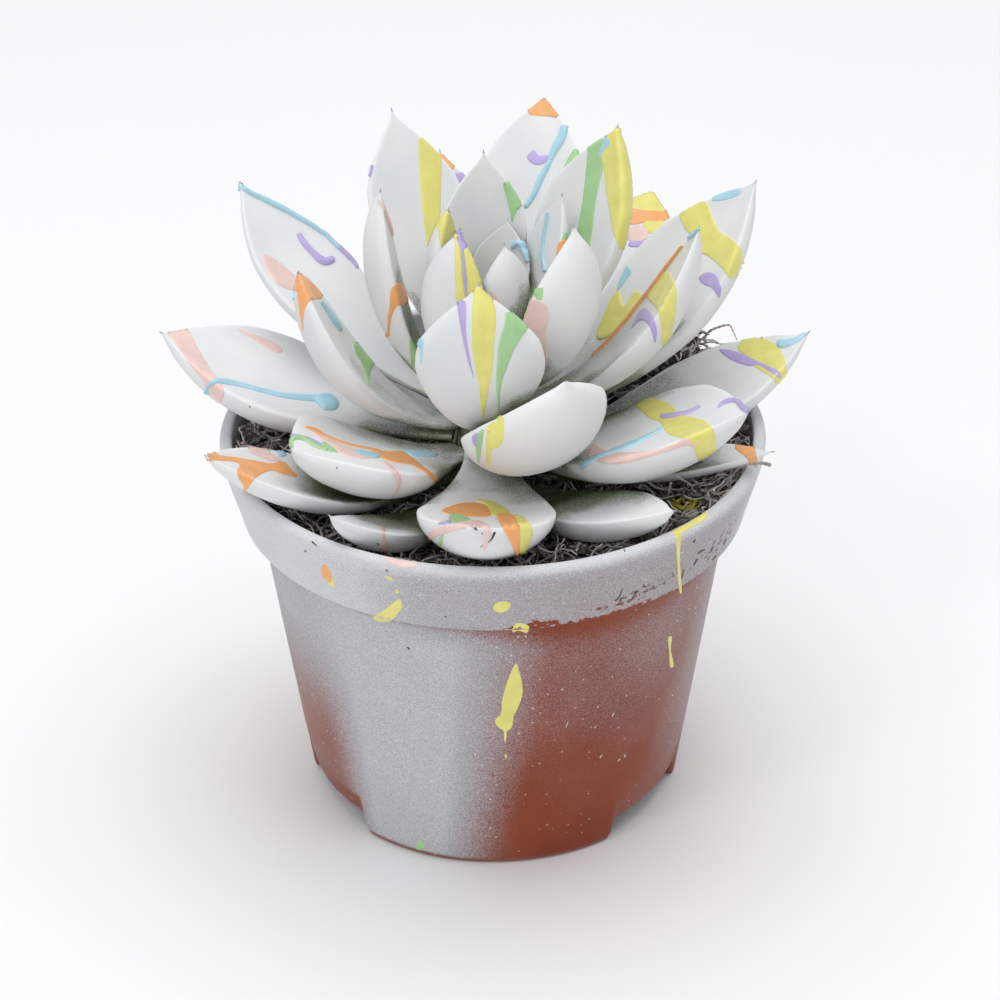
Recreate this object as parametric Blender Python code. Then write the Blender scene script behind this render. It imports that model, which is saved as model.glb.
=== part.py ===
"""A potted echeveria: a rosette of thick pointed leaves on a short stem, in a round
nursery pot filled with soil. Metres, +Z up, the pot's feet on z = 0 and the camera side at -Y."""

import math
from typing import NamedTuple

import bmesh
import bpy
from mathutils import Matrix, Vector

MM = 0.001
GAP = 0.3 * MM  # between pieces that rest on each other

# The leaves set the middle of the whole plant, so the pot stands a little off the origin.
POT_AXIS = (1.2 * MM, -5.6 * MM)
STEM_AXIS = (POT_AXIS[0] - 2.5 * MM, POT_AXIS[1] - 1.0 * MM)

POT_HEIGHT = 88 * MM
RIM_RADIUS = 60 * MM
LIP_WIDTH = 2.8 * MM
COLLAR_HEIGHT = 17 * MM
COLLAR_BOTTOM_RADIUS = 56.2 * MM
BODY_TOP_RADIUS = 52.4 * MM
FOOT_RADIUS = 42.4 * MM
WALL = 1.4 * MM
NOTCH_HEIGHT = 5.1 * MM
FLOOR_HEIGHT = NOTCH_HEIGHT + GAP
FOOT_RING_WIDTH = 2.2 * MM
FOOT_COUNT = 3
FIRST_NOTCH = -153  # degrees from +X, so that one foot is centred near -Y
NOTCH_ANGLE = 38  # degrees
DRAIN_HOLES = 6
DRAIN_HOLE_RADIUS = 4 * MM
DRAIN_CIRCLE = 26 * MM
POT_SEGMENTS = 72

SOIL_TOP = 75 * MM
STEM_FOOT = 60 * MM
STEM_RADIUS = 6.5 * MM
STEM_TOP_RADIUS = 3 * MM
STEM_TOP = 116 * MM
CROWN_TOP = 124.5 * MM

# Share of a leaf's length against share of its full width and of its full thickness.
LEAF_WIDTHS = (
    (0, 0.28), (0.12, 0.35), (0.30, 0.60), (0.46, 0.87), (0.60, 1.0),
    (0.72, 0.94), (0.83, 0.70), (0.92, 0.38), (0.97, 0.14), (1.0, 0.02),
)
LEAF_THICKNESSES = (
    (0, 0.36), (0.14, 0.48), (0.38, 0.88), (0.60, 1.0), (0.80, 0.80), (0.93, 0.44), (1.0, 0.06),
)
LEAF_STATIONS = (0, 0.09, 0.19, 0.30, 0.41, 0.52, 0.63, 0.74, 0.83, 0.90, 0.955, 0.985, 1.0)
LEAF_SIDES = 12
SPINE_STEPS = 48
UPPER_SHARE = 0.26  # of the thickness, above the leaf's middle surface
UNDER_SHARE = 0.74
SECTION_POWER = 0.9
CUP = 0.22  # how far the margins curl up, against half the width
CUP_GROWTH = ((0, 0.3), (0.3, 0.8), (0.7, 1.0), (1.0, 1.0))
TWIST_RATE = 2.5  # a leaf has its whole twist at 1 / TWIST_RATE of its length


class Leaf(NamedTuple):
    """Angles in degrees, sizes in millimetres."""

    azimuth: float  # the way it points, from +X towards +Y
    height: float  # where it leaves the stem, above the pot's feet
    rise: float  # its slope at the stem
    curl: float  # how much steeper its tip is
    length: float
    width: float
    thickness: float
    sway: float = 0.0  # turn of the tip sideways
    twist: float = 0.0  # lean of the blade about its own length
    taper: float = 1.0  # above 1 the tip is drawn out finer
    late: float = 1.0  # above 1 the curl is nearer the tip


# In the order in which they leave the stem, lowest first.
LEAVES = (
    Leaf(-112.5, 77.5, 0.5, 46.5, 56.5, 14, 5.4, sway=-23, late=1.45),
    Leaf(153, 78, -2, 12, 44, 15, 3.2),
    Leaf(50, 78, -2, 10, 38, 14, 3.2),
    Leaf(-17, 78, 7.5, 15, 60.5, 14, 3.2, sway=-4),
    Leaf(-56, 78.5, 2, 29, 56, 18.5, 6.9, sway=17, late=1.1),
    Leaf(91, 79.5, 0, 20, 48, 18, 3.3),
    Leaf(-145, 80, 1, 42, 66, 25, 5.2, sway=-8, late=1.2),
    Leaf(8, 81.5, 1, 36, 72, 27.5, 6.6, sway=8.5, late=1.15),
    Leaf(124, 82, 0, 26, 52, 22, 3.8),
    Leaf(-26.5, 85, 7.5, 27.5, 60, 35, 9.2, sway=2.5),
    Leaf(-135.5, 85, 6.5, 24.5, 49, 33.5, 9.0, sway=-9, late=0.7),
    Leaf(58, 85.5, 10, 12.5, 83, 30, 4.7, sway=8, taper=0.85, late=0.9),
    Leaf(171.5, 88, 1.5, 31.5, 68, 33.5, 8.5, sway=1, late=1.1),
    Leaf(-85, 88.5, -12.5, 59, 60, 29, 8.0, sway=-14.5, late=1.4),
    Leaf(25, 89, 4, 54.5, 77.5, 33.5, 8.7, sway=-3.5, late=0.65),
    Leaf(99, 89.5, 25, 24, 65, 22, 6.0),
    Leaf(193.5, 91, 7, 73, 54.5, 22.5, 6.5, sway=-3, twist=-4.5, taper=0.8, late=0.7),
    Leaf(-73.5, 92.5, 8.5, 70, 50, 33, 10.4, sway=21, late=1.4),
    Leaf(145.5, 93, 11.5, 39.5, 73, 24.5, 6.4, sway=-6.5, taper=1.2, late=1.15),
    Leaf(-3.5, 93.5, 11, 69.5, 63, 24, 6.0, sway=6, twist=-7, taper=0.85, late=0.95),
    Leaf(74, 94, 33.5, 13, 72, 26.5, 5.5, sway=4, taper=0.9, late=0.85),
    Leaf(177, 95.5, 41.5, 52, 53, 15, 6.6, sway=1, twist=2, late=0.65),
    Leaf(-89.5, 96.5, 18, 83.5, 54.5, 27, 9.4, sway=-3, taper=1.1, late=1.05),
    Leaf(30, 97, 49, 28.5, 62.5, 27, 8.2, twist=4, taper=1.1, late=1.1),
    Leaf(-33, 98.5, 37.5, 53.5, 49.5, 22, 9.3, sway=-2, twist=-0.5, taper=1.3, late=0.75),
    Leaf(118, 98.5, 41.5, 20.5, 61.5, 23, 6.5, sway=-4.5, taper=1.2),
    Leaf(-125, 98.5, 58, 59.5, 42, 15.5, 4.8, sway=3.5),
    Leaf(85.5, 102, 61.5, 18, 45.5, 18.5, 5.5, sway=5, twist=2, taper=1.1),
    Leaf(172, 103.5, 71, 31, 37.5, 11, 4.6, sway=-14, twist=-3, late=0.85),
    Leaf(28, 104.5, 57, 18.5, 38, 11.5, 4.7, sway=8, late=1.15),
    Leaf(61, 106.5, 66, 9, 27.5, 13.5, 2.7, sway=8.5, taper=1.15),
    Leaf(-41, 107.5, 75.5, 21, 27.5, 13, 6.0, sway=-3, taper=1.15, late=1.1),
    Leaf(-110, 111, 77, 10, 14, 7, 1.8),
    Leaf(20, 112, 78, 10, 12, 6, 1.6),
    Leaf(140, 112, 78, 10, 13, 6, 1.6),
)


def clear_scene():
    for obj in list(bpy.data.objects):
        bpy.data.objects.remove(obj, do_unlink=True)


def make_material(name, colour, roughness):
    material = bpy.data.materials.new(name)
    material.use_nodes = True
    shader = material.node_tree.nodes["Principled BSDF"]
    shader.inputs["Base Color"].default_value = (*colour, 1)
    shader.inputs["Roughness"].default_value = roughness
    shader.inputs["Metallic"].default_value = 0
    return material


def make_empty(name, place):
    empty = bpy.data.objects.new(name, None)
    empty.location = (*place, 0)
    bpy.context.collection.objects.link(empty)
    return empty


def make_object(name, bm, material, parent):
    bmesh.ops.recalc_face_normals(bm, faces=bm.faces)
    mesh = bpy.data.meshes.new(name)
    bm.to_mesh(mesh)
    bm.free()
    mesh.shade_smooth()
    mesh.set_sharp_from_angle(angle=math.radians(40))
    mesh.materials.append(material)
    obj = bpy.data.objects.new(name, mesh)
    obj.parent = parent
    bpy.context.collection.objects.link(obj)
    return obj


def turned(profile, segments):
    """A solid of revolution from (radius, z) points; a radius of 0 closes it on the axis."""
    bm = bmesh.new()
    verts = [bm.verts.new((radius, 0, z)) for radius, z in profile]
    edges = [bm.edges.new(pair) for pair in zip(verts, verts[1:])]
    if profile[0][0] > 0:
        edges.append(bm.edges.new((verts[-1], verts[0])))
    bmesh.ops.spin(
        bm, geom=verts + edges, cent=(0, 0, 0), axis=(0, 0, 1),
        angle=math.tau, steps=segments, use_merge=True, use_duplicate=False,
    )
    bmesh.ops.remove_doubles(bm, verts=bm.verts, dist=0.001 * MM)
    return bm


def make_cutter(name, bm, parent):
    cutter = make_object(name, bm, bpy.data.materials.new(name), parent)
    cutter.hide_render = True
    cutter.display_type = "WIRE"
    return cutter


def cut(obj, cutter):
    modifier = obj.modifiers.new(cutter.name, "BOOLEAN")
    modifier.operation = "DIFFERENCE"
    modifier.object = cutter


def lip_arc():
    """Points round the lip's outer corner, from the collar's outside to its top."""
    radius = 1.0 * MM
    centre = (RIM_RADIUS - radius, POT_HEIGHT - radius)
    angles = [math.radians(a) for a in (0, 30, 60, 90)]
    return [(centre[0] + radius * math.cos(a), centre[1] + radius * math.sin(a)) for a in angles]


def pot_outline():
    """Half the pot's section, from the axis under its floor, round the rim and back inside."""
    collar_bottom = POT_HEIGHT - COLLAR_HEIGHT
    floor_radius = FOOT_RADIUS + (BODY_TOP_RADIUS - FOOT_RADIUS) * FLOOR_HEIGHT / collar_bottom
    return [
        (0, FLOOR_HEIGHT),
        (floor_radius - FOOT_RING_WIDTH, FLOOR_HEIGHT),
        (FOOT_RADIUS - FOOT_RING_WIDTH, 0),
        (FOOT_RADIUS, 0),
        (BODY_TOP_RADIUS, collar_bottom),
        (COLLAR_BOTTOM_RADIUS, collar_bottom),
        *lip_arc(),
        (RIM_RADIUS - LIP_WIDTH, POT_HEIGHT),
        (COLLAR_BOTTOM_RADIUS - WALL, collar_bottom + WALL),
        (BODY_TOP_RADIUS - WALL, collar_bottom + WALL),
        (floor_radius - WALL, FLOOR_HEIGHT + WALL),
        (0, FLOOR_HEIGHT + WALL),
    ]


def notch_wedge(middle):
    """The gap between two feet, from under the pot to just below its floor."""
    bm = bmesh.new()
    inner = FOOT_RADIUS - 3 * FOOT_RING_WIDTH
    outer = FOOT_RADIUS + 3 * FOOT_RING_WIDTH
    steps = 8
    angles = [math.radians(middle + NOTCH_ANGLE * (i / steps - 0.5)) for i in range(steps + 1)]
    ring = [(inner, a) for a in angles] + [(outer, a) for a in reversed(angles)]
    face = bm.faces.new([bm.verts.new((r * math.cos(a), r * math.sin(a), -MM)) for r, a in ring])
    made = bmesh.ops.extrude_face_region(bm, geom=[face])
    top = [v for v in made["geom"] if isinstance(v, bmesh.types.BMVert)]
    bmesh.ops.translate(bm, verts=top, vec=(0, 0, NOTCH_HEIGHT + MM))
    return bm


def cylinder(radius, bottom, top, segments, place=(0, 0)):
    bm = bmesh.new()
    bmesh.ops.create_cone(
        bm, cap_ends=True, segments=segments, radius1=radius, radius2=radius, depth=top - bottom,
        matrix=Matrix.Translation((*place, (bottom + top) / 2)),
    )
    return bm


def make_pot(axis):
    plastic = make_material("terracotta_plastic", (0.34, 0.14, 0.09), 0.6)
    pot = make_object("pot", turned(pot_outline(), POT_SEGMENTS), plastic, axis)
    for i in range(FOOT_COUNT):
        wedge = notch_wedge(FIRST_NOTCH + 360 / FOOT_COUNT * i)
        cut(pot, make_cutter(f"cut_foot_{i}", wedge, axis))
    for i in range(DRAIN_HOLES):
        turn = math.tau * (i + 0.5) / DRAIN_HOLES
        place = (DRAIN_CIRCLE * math.cos(turn), DRAIN_CIRCLE * math.sin(turn))
        hole = cylinder(DRAIN_HOLE_RADIUS, 0, 3 * FLOOR_HEIGHT, 16, place)
        cut(pot, make_cutter(f"cut_drain_{i}", hole, axis))


def soil_outline():
    """Half the soil's section, a gap inside the pot's walls."""
    ledge = POT_HEIGHT - COLLAR_HEIGHT + WALL + GAP
    inset = WALL + GAP
    base = FLOOR_HEIGHT + WALL + GAP
    collar_slope = (RIM_RADIUS - LIP_WIDTH - COLLAR_BOTTOM_RADIUS + WALL) / (COLLAR_HEIGHT - WALL)
    return [
        (0, base),
        (FOOT_RADIUS - WALL, base),
        (BODY_TOP_RADIUS - inset, ledge - GAP),
        (BODY_TOP_RADIUS - inset, ledge),
        (COLLAR_BOTTOM_RADIUS - inset, ledge),
        (COLLAR_BOTTOM_RADIUS - inset + collar_slope * (SOIL_TOP - ledge), SOIL_TOP),
        (0, SOIL_TOP),
    ]


def make_soil(axis):
    peat = make_material("peat", (0.05, 0.04, 0.035), 0.95)
    soil = make_object("soil", turned(soil_outline(), POT_SEGMENTS), peat, axis)
    to_stem = (STEM_AXIS[0] - POT_AXIS[0], STEM_AXIS[1] - POT_AXIS[1])
    hole = cylinder(STEM_RADIUS + GAP, STEM_FOOT - GAP, 2 * SOIL_TOP, 32, to_stem)
    cut(soil, make_cutter("cut_stem_hole", hole, axis))


def make_stem(axis):
    bark = make_material("stem_bark", (0.30, 0.33, 0.26), 0.8)
    outline = [
        (0, STEM_FOOT), (STEM_RADIUS, STEM_FOOT), (STEM_RADIUS, SOIL_TOP),
        (STEM_TOP_RADIUS, STEM_TOP), (0.75 * STEM_TOP_RADIUS, STEM_TOP + 2 * MM),
        (0.4 * STEM_TOP_RADIUS, CROWN_TOP - 2.5 * MM), (0, CROWN_TOP),
    ]
    make_object("stem", turned(outline, 24), bark, axis)


def read_curve(points, at):
    """A smooth curve through (place, value) points that never overshoots them."""
    places, values = zip(*points)
    spans = [b - a for a, b in zip(places, places[1:])]
    slopes = [(b - a) / span for a, b, span in zip(values, values[1:], spans)]
    tangents = [slopes[0]]
    for before, after in zip(slopes, slopes[1:]):
        turning = before * after <= 0
        tangents.append(0 if turning else 2 * before * after / (before + after))
    tangents.append(slopes[-1])
    i = max(k for k in range(len(spans)) if places[k] <= at)
    t = (at - places[i]) / spans[i]
    return (
        (2 * t**3 - 3 * t**2 + 1) * values[i]
        + (t**3 - 2 * t**2 + t) * spans[i] * tangents[i]
        + (3 * t**2 - 2 * t**3) * values[i + 1]
        + (t**3 - t**2) * spans[i] * tangents[i + 1]
    )


def leaf_spine(leaf):
    """Middle point, sideways direction and upward direction along the leaf, which leaves along +X."""
    step = leaf.length * MM / SPINE_STEPS
    point = Vector()
    frames = []
    for i in range(SPINE_STEPS + 1):
        share = i / SPINE_STEPS
        slope = math.radians(leaf.rise + leaf.curl * share**leaf.late)
        turn = math.radians(leaf.sway * share)
        outward = Vector((math.cos(turn), math.sin(turn), 0))
        along = math.cos(slope) * outward + Vector((0, 0, math.sin(slope)))
        if i > 0:
            point = point + (along + before) / 2 * step
        before = along
        flat_side = Vector((-math.sin(turn), math.cos(turn), 0))
        lean = math.radians(leaf.twist) * min(1, TWIST_RATE * share)
        side = math.cos(lean) * flat_side + math.sin(lean) * along.cross(flat_side)
        frames.append((point, side, along.cross(side)))
    return frames


def leaf_ring(leaf, frames, share):
    """The leaf's outline across its length: flat on top, keeled below, with the margins raised."""
    place = share * SPINE_STEPS
    i = min(int(place), SPINE_STEPS - 1)
    point, side, up = (a.lerp(b, place - i) for a, b in zip(frames[i], frames[i + 1]))
    width = read_curve(LEAF_WIDTHS, share)
    if share > LEAF_WIDTHS[4][0]:
        width = width**leaf.taper
    half = width * leaf.width * MM / 2
    thickness = read_curve(LEAF_THICKNESSES, share) * leaf.thickness * MM
    cup = CUP * read_curve(CUP_GROWTH, share)
    ring = []
    for k in range(LEAF_SIDES):
        turn = math.tau * k / LEAF_SIDES
        across = math.copysign(abs(math.cos(turn)) ** SECTION_POWER, math.cos(turn))
        above = math.copysign(abs(math.sin(turn)) ** SECTION_POWER, math.sin(turn))
        part = UPPER_SHARE if above > 0 else UNDER_SHARE
        height = part * above * thickness + cup * half * across**2
        ring.append(point + across * half * side + height * up)
    return ring


def leaf_mesh(leaf):
    bm = bmesh.new()
    frames = leaf_spine(leaf)
    rings = [[bm.verts.new(p) for p in leaf_ring(leaf, frames, share)] for share in LEAF_STATIONS]
    for low, high in zip(rings, rings[1:]):
        for k in range(LEAF_SIDES):
            after = (k + 1) % LEAF_SIDES
            bm.faces.new((low[k], low[after], high[after], high[k]))
    bm.faces.new(reversed(rings[0]))
    bm.faces.new(rings[-1])
    return bm


def stem_radius(height):
    share = max(0, height - SOIL_TOP) / (STEM_TOP - SOIL_TOP)
    return STEM_RADIUS + (STEM_TOP_RADIUS - STEM_RADIUS) * share


def make_leaf(number, leaf, skin, axis):
    obj = make_object(f"leaf_{number:02d}", leaf_mesh(leaf), skin, axis)
    # A leaf that slopes turns one of its faces to the stem, so its middle starts further out.
    facing = UPPER_SHARE if leaf.rise > 0 else UNDER_SHARE
    base_depth = facing * LEAF_THICKNESSES[0][1] * leaf.thickness * MM
    lean = base_depth * abs(math.sin(math.radians(leaf.rise)))
    start = stem_radius(leaf.height * MM) + 2 * GAP + lean
    turn = math.radians(leaf.azimuth)
    obj.location = (start * math.cos(turn), start * math.sin(turn), leaf.height * MM)
    obj.rotation_euler = (0, 0, turn)


def main():
    clear_scene()
    pot_axis = make_empty("pot_axis", POT_AXIS)
    stem_axis = make_empty("stem_axis", STEM_AXIS)
    make_pot(pot_axis)
    make_soil(pot_axis)
    make_stem(stem_axis)
    skin = make_material("leaf_skin", (0.80, 0.81, 0.83), 0.45)
    for number, leaf in enumerate(LEAVES, start=1):
        make_leaf(number, leaf, skin, stem_axis)


main()
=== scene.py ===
import math

import bmesh
import bpy
import numpy as np
from mathutils import Matrix, Vector, noise
from mathutils.bvhtree import BVHTree
from mathutils.geometry import delaunay_2d_cdt


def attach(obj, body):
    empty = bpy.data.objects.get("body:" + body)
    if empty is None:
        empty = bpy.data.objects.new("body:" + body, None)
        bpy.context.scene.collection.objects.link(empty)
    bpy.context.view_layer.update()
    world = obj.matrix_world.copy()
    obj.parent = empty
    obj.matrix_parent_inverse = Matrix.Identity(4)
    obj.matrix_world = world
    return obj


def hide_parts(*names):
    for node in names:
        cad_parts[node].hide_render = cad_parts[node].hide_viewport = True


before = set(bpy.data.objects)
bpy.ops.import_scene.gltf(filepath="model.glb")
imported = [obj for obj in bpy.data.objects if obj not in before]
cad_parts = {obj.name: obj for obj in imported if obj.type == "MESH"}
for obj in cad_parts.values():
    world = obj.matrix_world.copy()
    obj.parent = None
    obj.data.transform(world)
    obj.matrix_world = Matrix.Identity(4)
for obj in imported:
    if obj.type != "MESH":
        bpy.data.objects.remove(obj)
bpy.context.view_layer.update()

# The nursery pot. Thin terracotta plastic, blow-moulded in one piece: a deep collar with a
# rolled lip, a tapering body, three feet and drain holes. White paint from the spray can
# covers the collar and drifts over the body, so bare plastic is left on the right and left.
MM = 0.001
POT_X = 1.2 * MM
POT_Y = -5.6 * MM
POT_HEIGHT = 88 * MM
RIM_RADIUS = 60 * MM
COLLAR_HEIGHT = 17 * MM
COLLAR_BOTTOM_RADIUS = 56.2 * MM
BODY_TOP_RADIUS = 52.4 * MM
FOOT_RADIUS = 42.4 * MM
WALL = 1.4 * MM
LIP_WIDTH = 2.8 * MM
NOTCH_HEIGHT = 5.1 * MM
FIRST_NOTCH = -153
NOTCH_ANGLE = 38
POT_SEGMENTS = 288
DRAIN_HOLES = 6
DRAIN_CIRCLE = 26 * MM
DRAIN_RADIUS = 4 * MM
FOOT_ROUND = 0.9 * MM
SHOULDER_ROUND = 0.6 * MM
COLLAR_ROUND = 0.7 * MM
LIP_ROUND = 1.3 * MM
LIP_INNER_ROUND = 0.9 * MM
WAVINESS = 0.14 * MM


def node(tree, kind, inputs=None, **settings):
    """A new node with its settings made and its inputs linked or set."""
    made = tree.nodes.new(kind)
    for name, value in settings.items():
        setattr(made, name, value)
    for key, value in (inputs or {}).items():
        if isinstance(value, bpy.types.NodeSocket):
            tree.links.new(value, made.inputs[key])
        else:
            made.inputs[key].default_value = value
    return made


def mesh_object(name, points, faces, smooth_angle=None):
    mesh = bpy.data.meshes.new(name)
    mesh.from_pydata([tuple(p) for p in points], [], faces)
    mesh.validate()
    mesh.shade_smooth()
    if smooth_angle:
        mesh.set_sharp_from_angle(angle=math.radians(smooth_angle))
    made = bpy.data.objects.new(name, mesh)
    bpy.context.scene.collection.objects.link(made)
    return made


def arc(centre, radius, start, end, steps):
    """Points on an arc from one angle to another, in degrees, both ends included."""
    turns = [math.radians(start + (end - start) * i / steps) for i in range(steps + 1)]
    return [(centre[0] + radius * math.cos(t), centre[1] + radius * math.sin(t)) for t in turns]


def line(start, end, steps):
    """Points from start up to, but not at, end."""
    return [tuple(a + (b - a) * i / steps for a, b in zip(start, end)) for i in range(steps)]


def revolve(profile, segments, bend=None):
    """A closed mesh turned about the pot's axis, its first and last points on the axis."""
    points = []
    faces = []
    rows = len(profile) - 2
    for k in range(segments):
        turn = math.tau * k / segments
        for radius, z in profile[1:-1]:
            if bend:
                radius, z = bend(radius, z, turn)
            points.append((POT_X + radius * math.cos(turn), POT_Y + radius * math.sin(turn), z))
    first = len(points)
    points.append((POT_X, POT_Y, profile[0][1]))
    points.append((POT_X, POT_Y, profile[-1][1]))
    for k in range(segments):
        a = k * rows
        b = (k + 1) % segments * rows
        for j in range(rows - 1):
            faces.append((a + j, b + j, b + j + 1, a + j + 1))
        faces.append((first, b, a))
        faces.append((a + rows - 1, b + rows - 1, first + 1))
    return points, faces


def tidy_normals(obj):
    bm = bmesh.new()
    bm.from_mesh(obj.data)
    bmesh.ops.recalc_face_normals(bm, faces=bm.faces)
    bm.to_mesh(obj.data)
    bm.free()


body_slope = (BODY_TOP_RADIUS - FOOT_RADIUS) / (POT_HEIGHT - COLLAR_HEIGHT)
collar_bottom = POT_HEIGHT - COLLAR_HEIGHT
floor_z = NOTCH_HEIGHT + 0.3 * MM
floor_radius = FOOT_RADIUS + body_slope * floor_z
pot_profile = [
    (0, floor_z),
    (floor_radius - 2.6 * MM, floor_z),
    (FOOT_RADIUS - 2.2 * MM, 0.4 * MM),
    *arc((FOOT_RADIUS - 1.1 * MM, FOOT_ROUND), FOOT_ROUND, 215, 350, 5),
    *line((FOOT_RADIUS + 0.02 * MM, 1.6 * MM), (BODY_TOP_RADIUS, collar_bottom - 0.3 * MM), 40),
    *arc((BODY_TOP_RADIUS + SHOULDER_ROUND, collar_bottom - SHOULDER_ROUND),
         SHOULDER_ROUND, 180, 90, 4),
    *arc((COLLAR_BOTTOM_RADIUS - COLLAR_ROUND, collar_bottom + COLLAR_ROUND),
         COLLAR_ROUND, 270, 365, 6),
    *line((COLLAR_BOTTOM_RADIUS + 0.1 * MM, collar_bottom + 1.4 * MM),
          (RIM_RADIUS - 0.1 * MM, POT_HEIGHT - 2.6 * MM), 12),
    *arc((RIM_RADIUS - LIP_ROUND, POT_HEIGHT - LIP_ROUND), LIP_ROUND, 0, 90, 6),
    *arc((RIM_RADIUS - LIP_WIDTH + LIP_INNER_ROUND, POT_HEIGHT - LIP_INNER_ROUND),
         LIP_INNER_ROUND, 90, 190, 5),
    *line((COLLAR_BOTTOM_RADIUS + 1.0 * MM, POT_HEIGHT - 4 * MM),
          (COLLAR_BOTTOM_RADIUS - WALL, collar_bottom + WALL), 6),
    *line((COLLAR_BOTTOM_RADIUS - WALL, collar_bottom + WALL),
          (BODY_TOP_RADIUS - WALL, collar_bottom + WALL), 2),
    *line((BODY_TOP_RADIUS - WALL, collar_bottom + WALL),
          (floor_radius - WALL, floor_z + WALL), 6),
    (floor_radius - WALL, floor_z + WALL),
    (0, floor_z + WALL),
]


def pot_bend(radius, z, turn):
    """The feet's notches, and the slight waviness of thin plastic."""
    angle = (math.degrees(turn) - FIRST_NOTCH + 60) % 120 - 60
    edge = min(1, max(0, (NOTCH_ANGLE / 2 + 1.2 - abs(angle)) / 2.4))
    lift = edge * edge * (3 - 2 * edge)
    reach = 3 * NOTCH_HEIGHT
    if radius > floor_radius - 3.5 * MM and z < reach:
        z = z + lift * NOTCH_HEIGHT * (1 - z / reach)
    wave = WAVINESS * noise.noise((math.cos(turn) * 1.7, math.sin(turn) * 1.7, z * 25))
    return radius + wave, z


pot = mesh_object("pot_shell", *revolve(pot_profile, POT_SEGMENTS, pot_bend), smooth_angle=50)
tidy_normals(pot)
for i in range(DRAIN_HOLES):
    turn = math.tau * (i + 0.5) / DRAIN_HOLES
    place = (POT_X + DRAIN_CIRCLE * math.cos(turn), POT_Y + DRAIN_CIRCLE * math.sin(turn), floor_z)
    bm = bmesh.new()
    bmesh.ops.create_cone(bm, cap_ends=True, segments=32, radius1=DRAIN_RADIUS,
                          radius2=DRAIN_RADIUS, depth=10 * MM, matrix=Matrix.Translation(place))
    mesh = bpy.data.meshes.new("drain")
    bm.to_mesh(mesh)
    bm.free()
    drain = bpy.data.objects.new("drain", mesh)
    bpy.context.scene.collection.objects.link(drain)
    cut = pot.modifiers.new("drain", "BOOLEAN")
    cut.operation = "DIFFERENCE"
    cut.object = drain
    cut.solver = "EXACT"
    evaluated = pot.evaluated_get(bpy.context.evaluated_depsgraph_get())
    finished = bpy.data.meshes.new_from_object(evaluated)
    pot.modifiers.clear()
    pot.data = finished
    bpy.data.objects.remove(drain)


def smooth(value, low, high):
    """0 below low, 1 above high and a soft ramp between; low may be the larger."""
    t = np.clip((np.asarray(value, float) - low) / (high - low), 0, 1)
    return t * t * (3 - 2 * t)


def bump_of(value, middle, reach):
    """1 at the middle, falling softly to 0 on both sides."""
    return np.exp(-(((np.asarray(value, float) - middle) / reach) ** 2))


def add_values(obj, name, values):
    data = obj.data.attributes.new(name, "FLOAT", "POINT")
    data.data.foreach_set("value", np.asarray(values, np.float32))


def vertices_of(obj):
    points = np.empty(len(obj.data.vertices) * 3)
    obj.data.vertices.foreach_get("co", points)
    return points.reshape(-1, 3)


def normals_of(obj):
    normals = np.empty(len(obj.data.vertices) * 3)
    obj.data.vertex_normals.foreach_get("vector", normals)
    return normals.reshape(-1, 3)


def patch(share, angle, width, height, depth):
    """A soft patch on the pot, at an angle from the front and a height in millimetres."""
    return share * bump_of(facing, angle, width) * bump_of(z, height, depth)


# How much white paint reached each place: facing is the angle from the front, to the right,
# and heights are in millimetres. The paint ends in a soft edge that leans right with height.
places = vertices_of(pot)
x = places[:, 0] - POT_X
y = places[:, 1] - POT_Y
z = places[:, 2] / MM
facing = np.degrees(np.arctan2(x, -y))
collar_z = collar_bottom / MM
right_edge = -2.4 + (z - 19) * 0.22
softness = 12 + 6 * smooth(z, 15, 60)
body = 0.93 * smooth(facing, right_edge + softness, right_edge - softness)
bare_left = 0.14 + 0.82 * smooth(z, 19, 57)
body = body * (bare_left + (1 - bare_left) * smooth(facing, -55, -38))
for haze in ((0.19, 20, 26, 57, 24), (0.36, 46, 26, 61, 23)):
    body = np.maximum(body, patch(*haze))
body = np.maximum(body, 0.72 * smooth(facing, 42, 80) * smooth(z, -10, 40) * (facing < 140))
body = np.maximum(body, 0.95 * bump_of(np.abs(facing), 172, 42) * smooth(z, -30, 20))
shaded = 1.5 + 6.5 * bump_of(facing, 30, 28)
body = body * (0.35 + 0.65 * smooth(collar_z - z, 0.3 * shaded, 1.5 * shaded + 1))
body = body * (1 - 0.93 * bump_of(facing, 27, 25) * smooth(collar_z - z, 9, 2.5))
collar = 0.975 - 0.22 * smooth(facing, -6, 24) * smooth(facing, 74, 44) * smooth(z, 87.5, 83)
collar = collar - 0.14 * bump_of(facing, -2, 20) * smooth(z, 87.5, 84)
spray = np.where(z >= collar_z - 0.35, collar, body)
inner_radius = BODY_TOP_RADIUS - 0.5 * MM + body_slope * (places[:, 2] - collar_bottom)
inside = (np.hypot(x, y) < inner_radius) & (places[:, 2] > floor_z)
spray = np.where(inside & (z < 70), 0.05, spray)
spray = np.where(z < 0.9, 0.1, spray)

# Where the paint has chipped off the collar, most along its lower edge.
above_edge = z - collar_z
slanting = 1.2 + 0.13 * (facing - 10)
chips = 1.1 * bump_of(facing, 25, 24) * smooth(above_edge, 1.9, 0.2)
chips = np.maximum(chips, 1.15 * bump_of(facing, 8.5, 5.5) * bump_of(above_edge, 1.0, 1.7))
chips = np.maximum(chips, 0.62 * bump_of(facing, 31, 17) * bump_of(above_edge, slanting, 2.6))
for worn in ((0.52, 57, 11, 77, 6.0), (0.30, 118, 40, 79, 8)):
    chips = np.maximum(chips, patch(*worn))
chips = np.where(z >= collar_z - 0.3, chips, 0)
add_values(pot, "spray", spray)
add_values(pot, "chips", chips)


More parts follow.
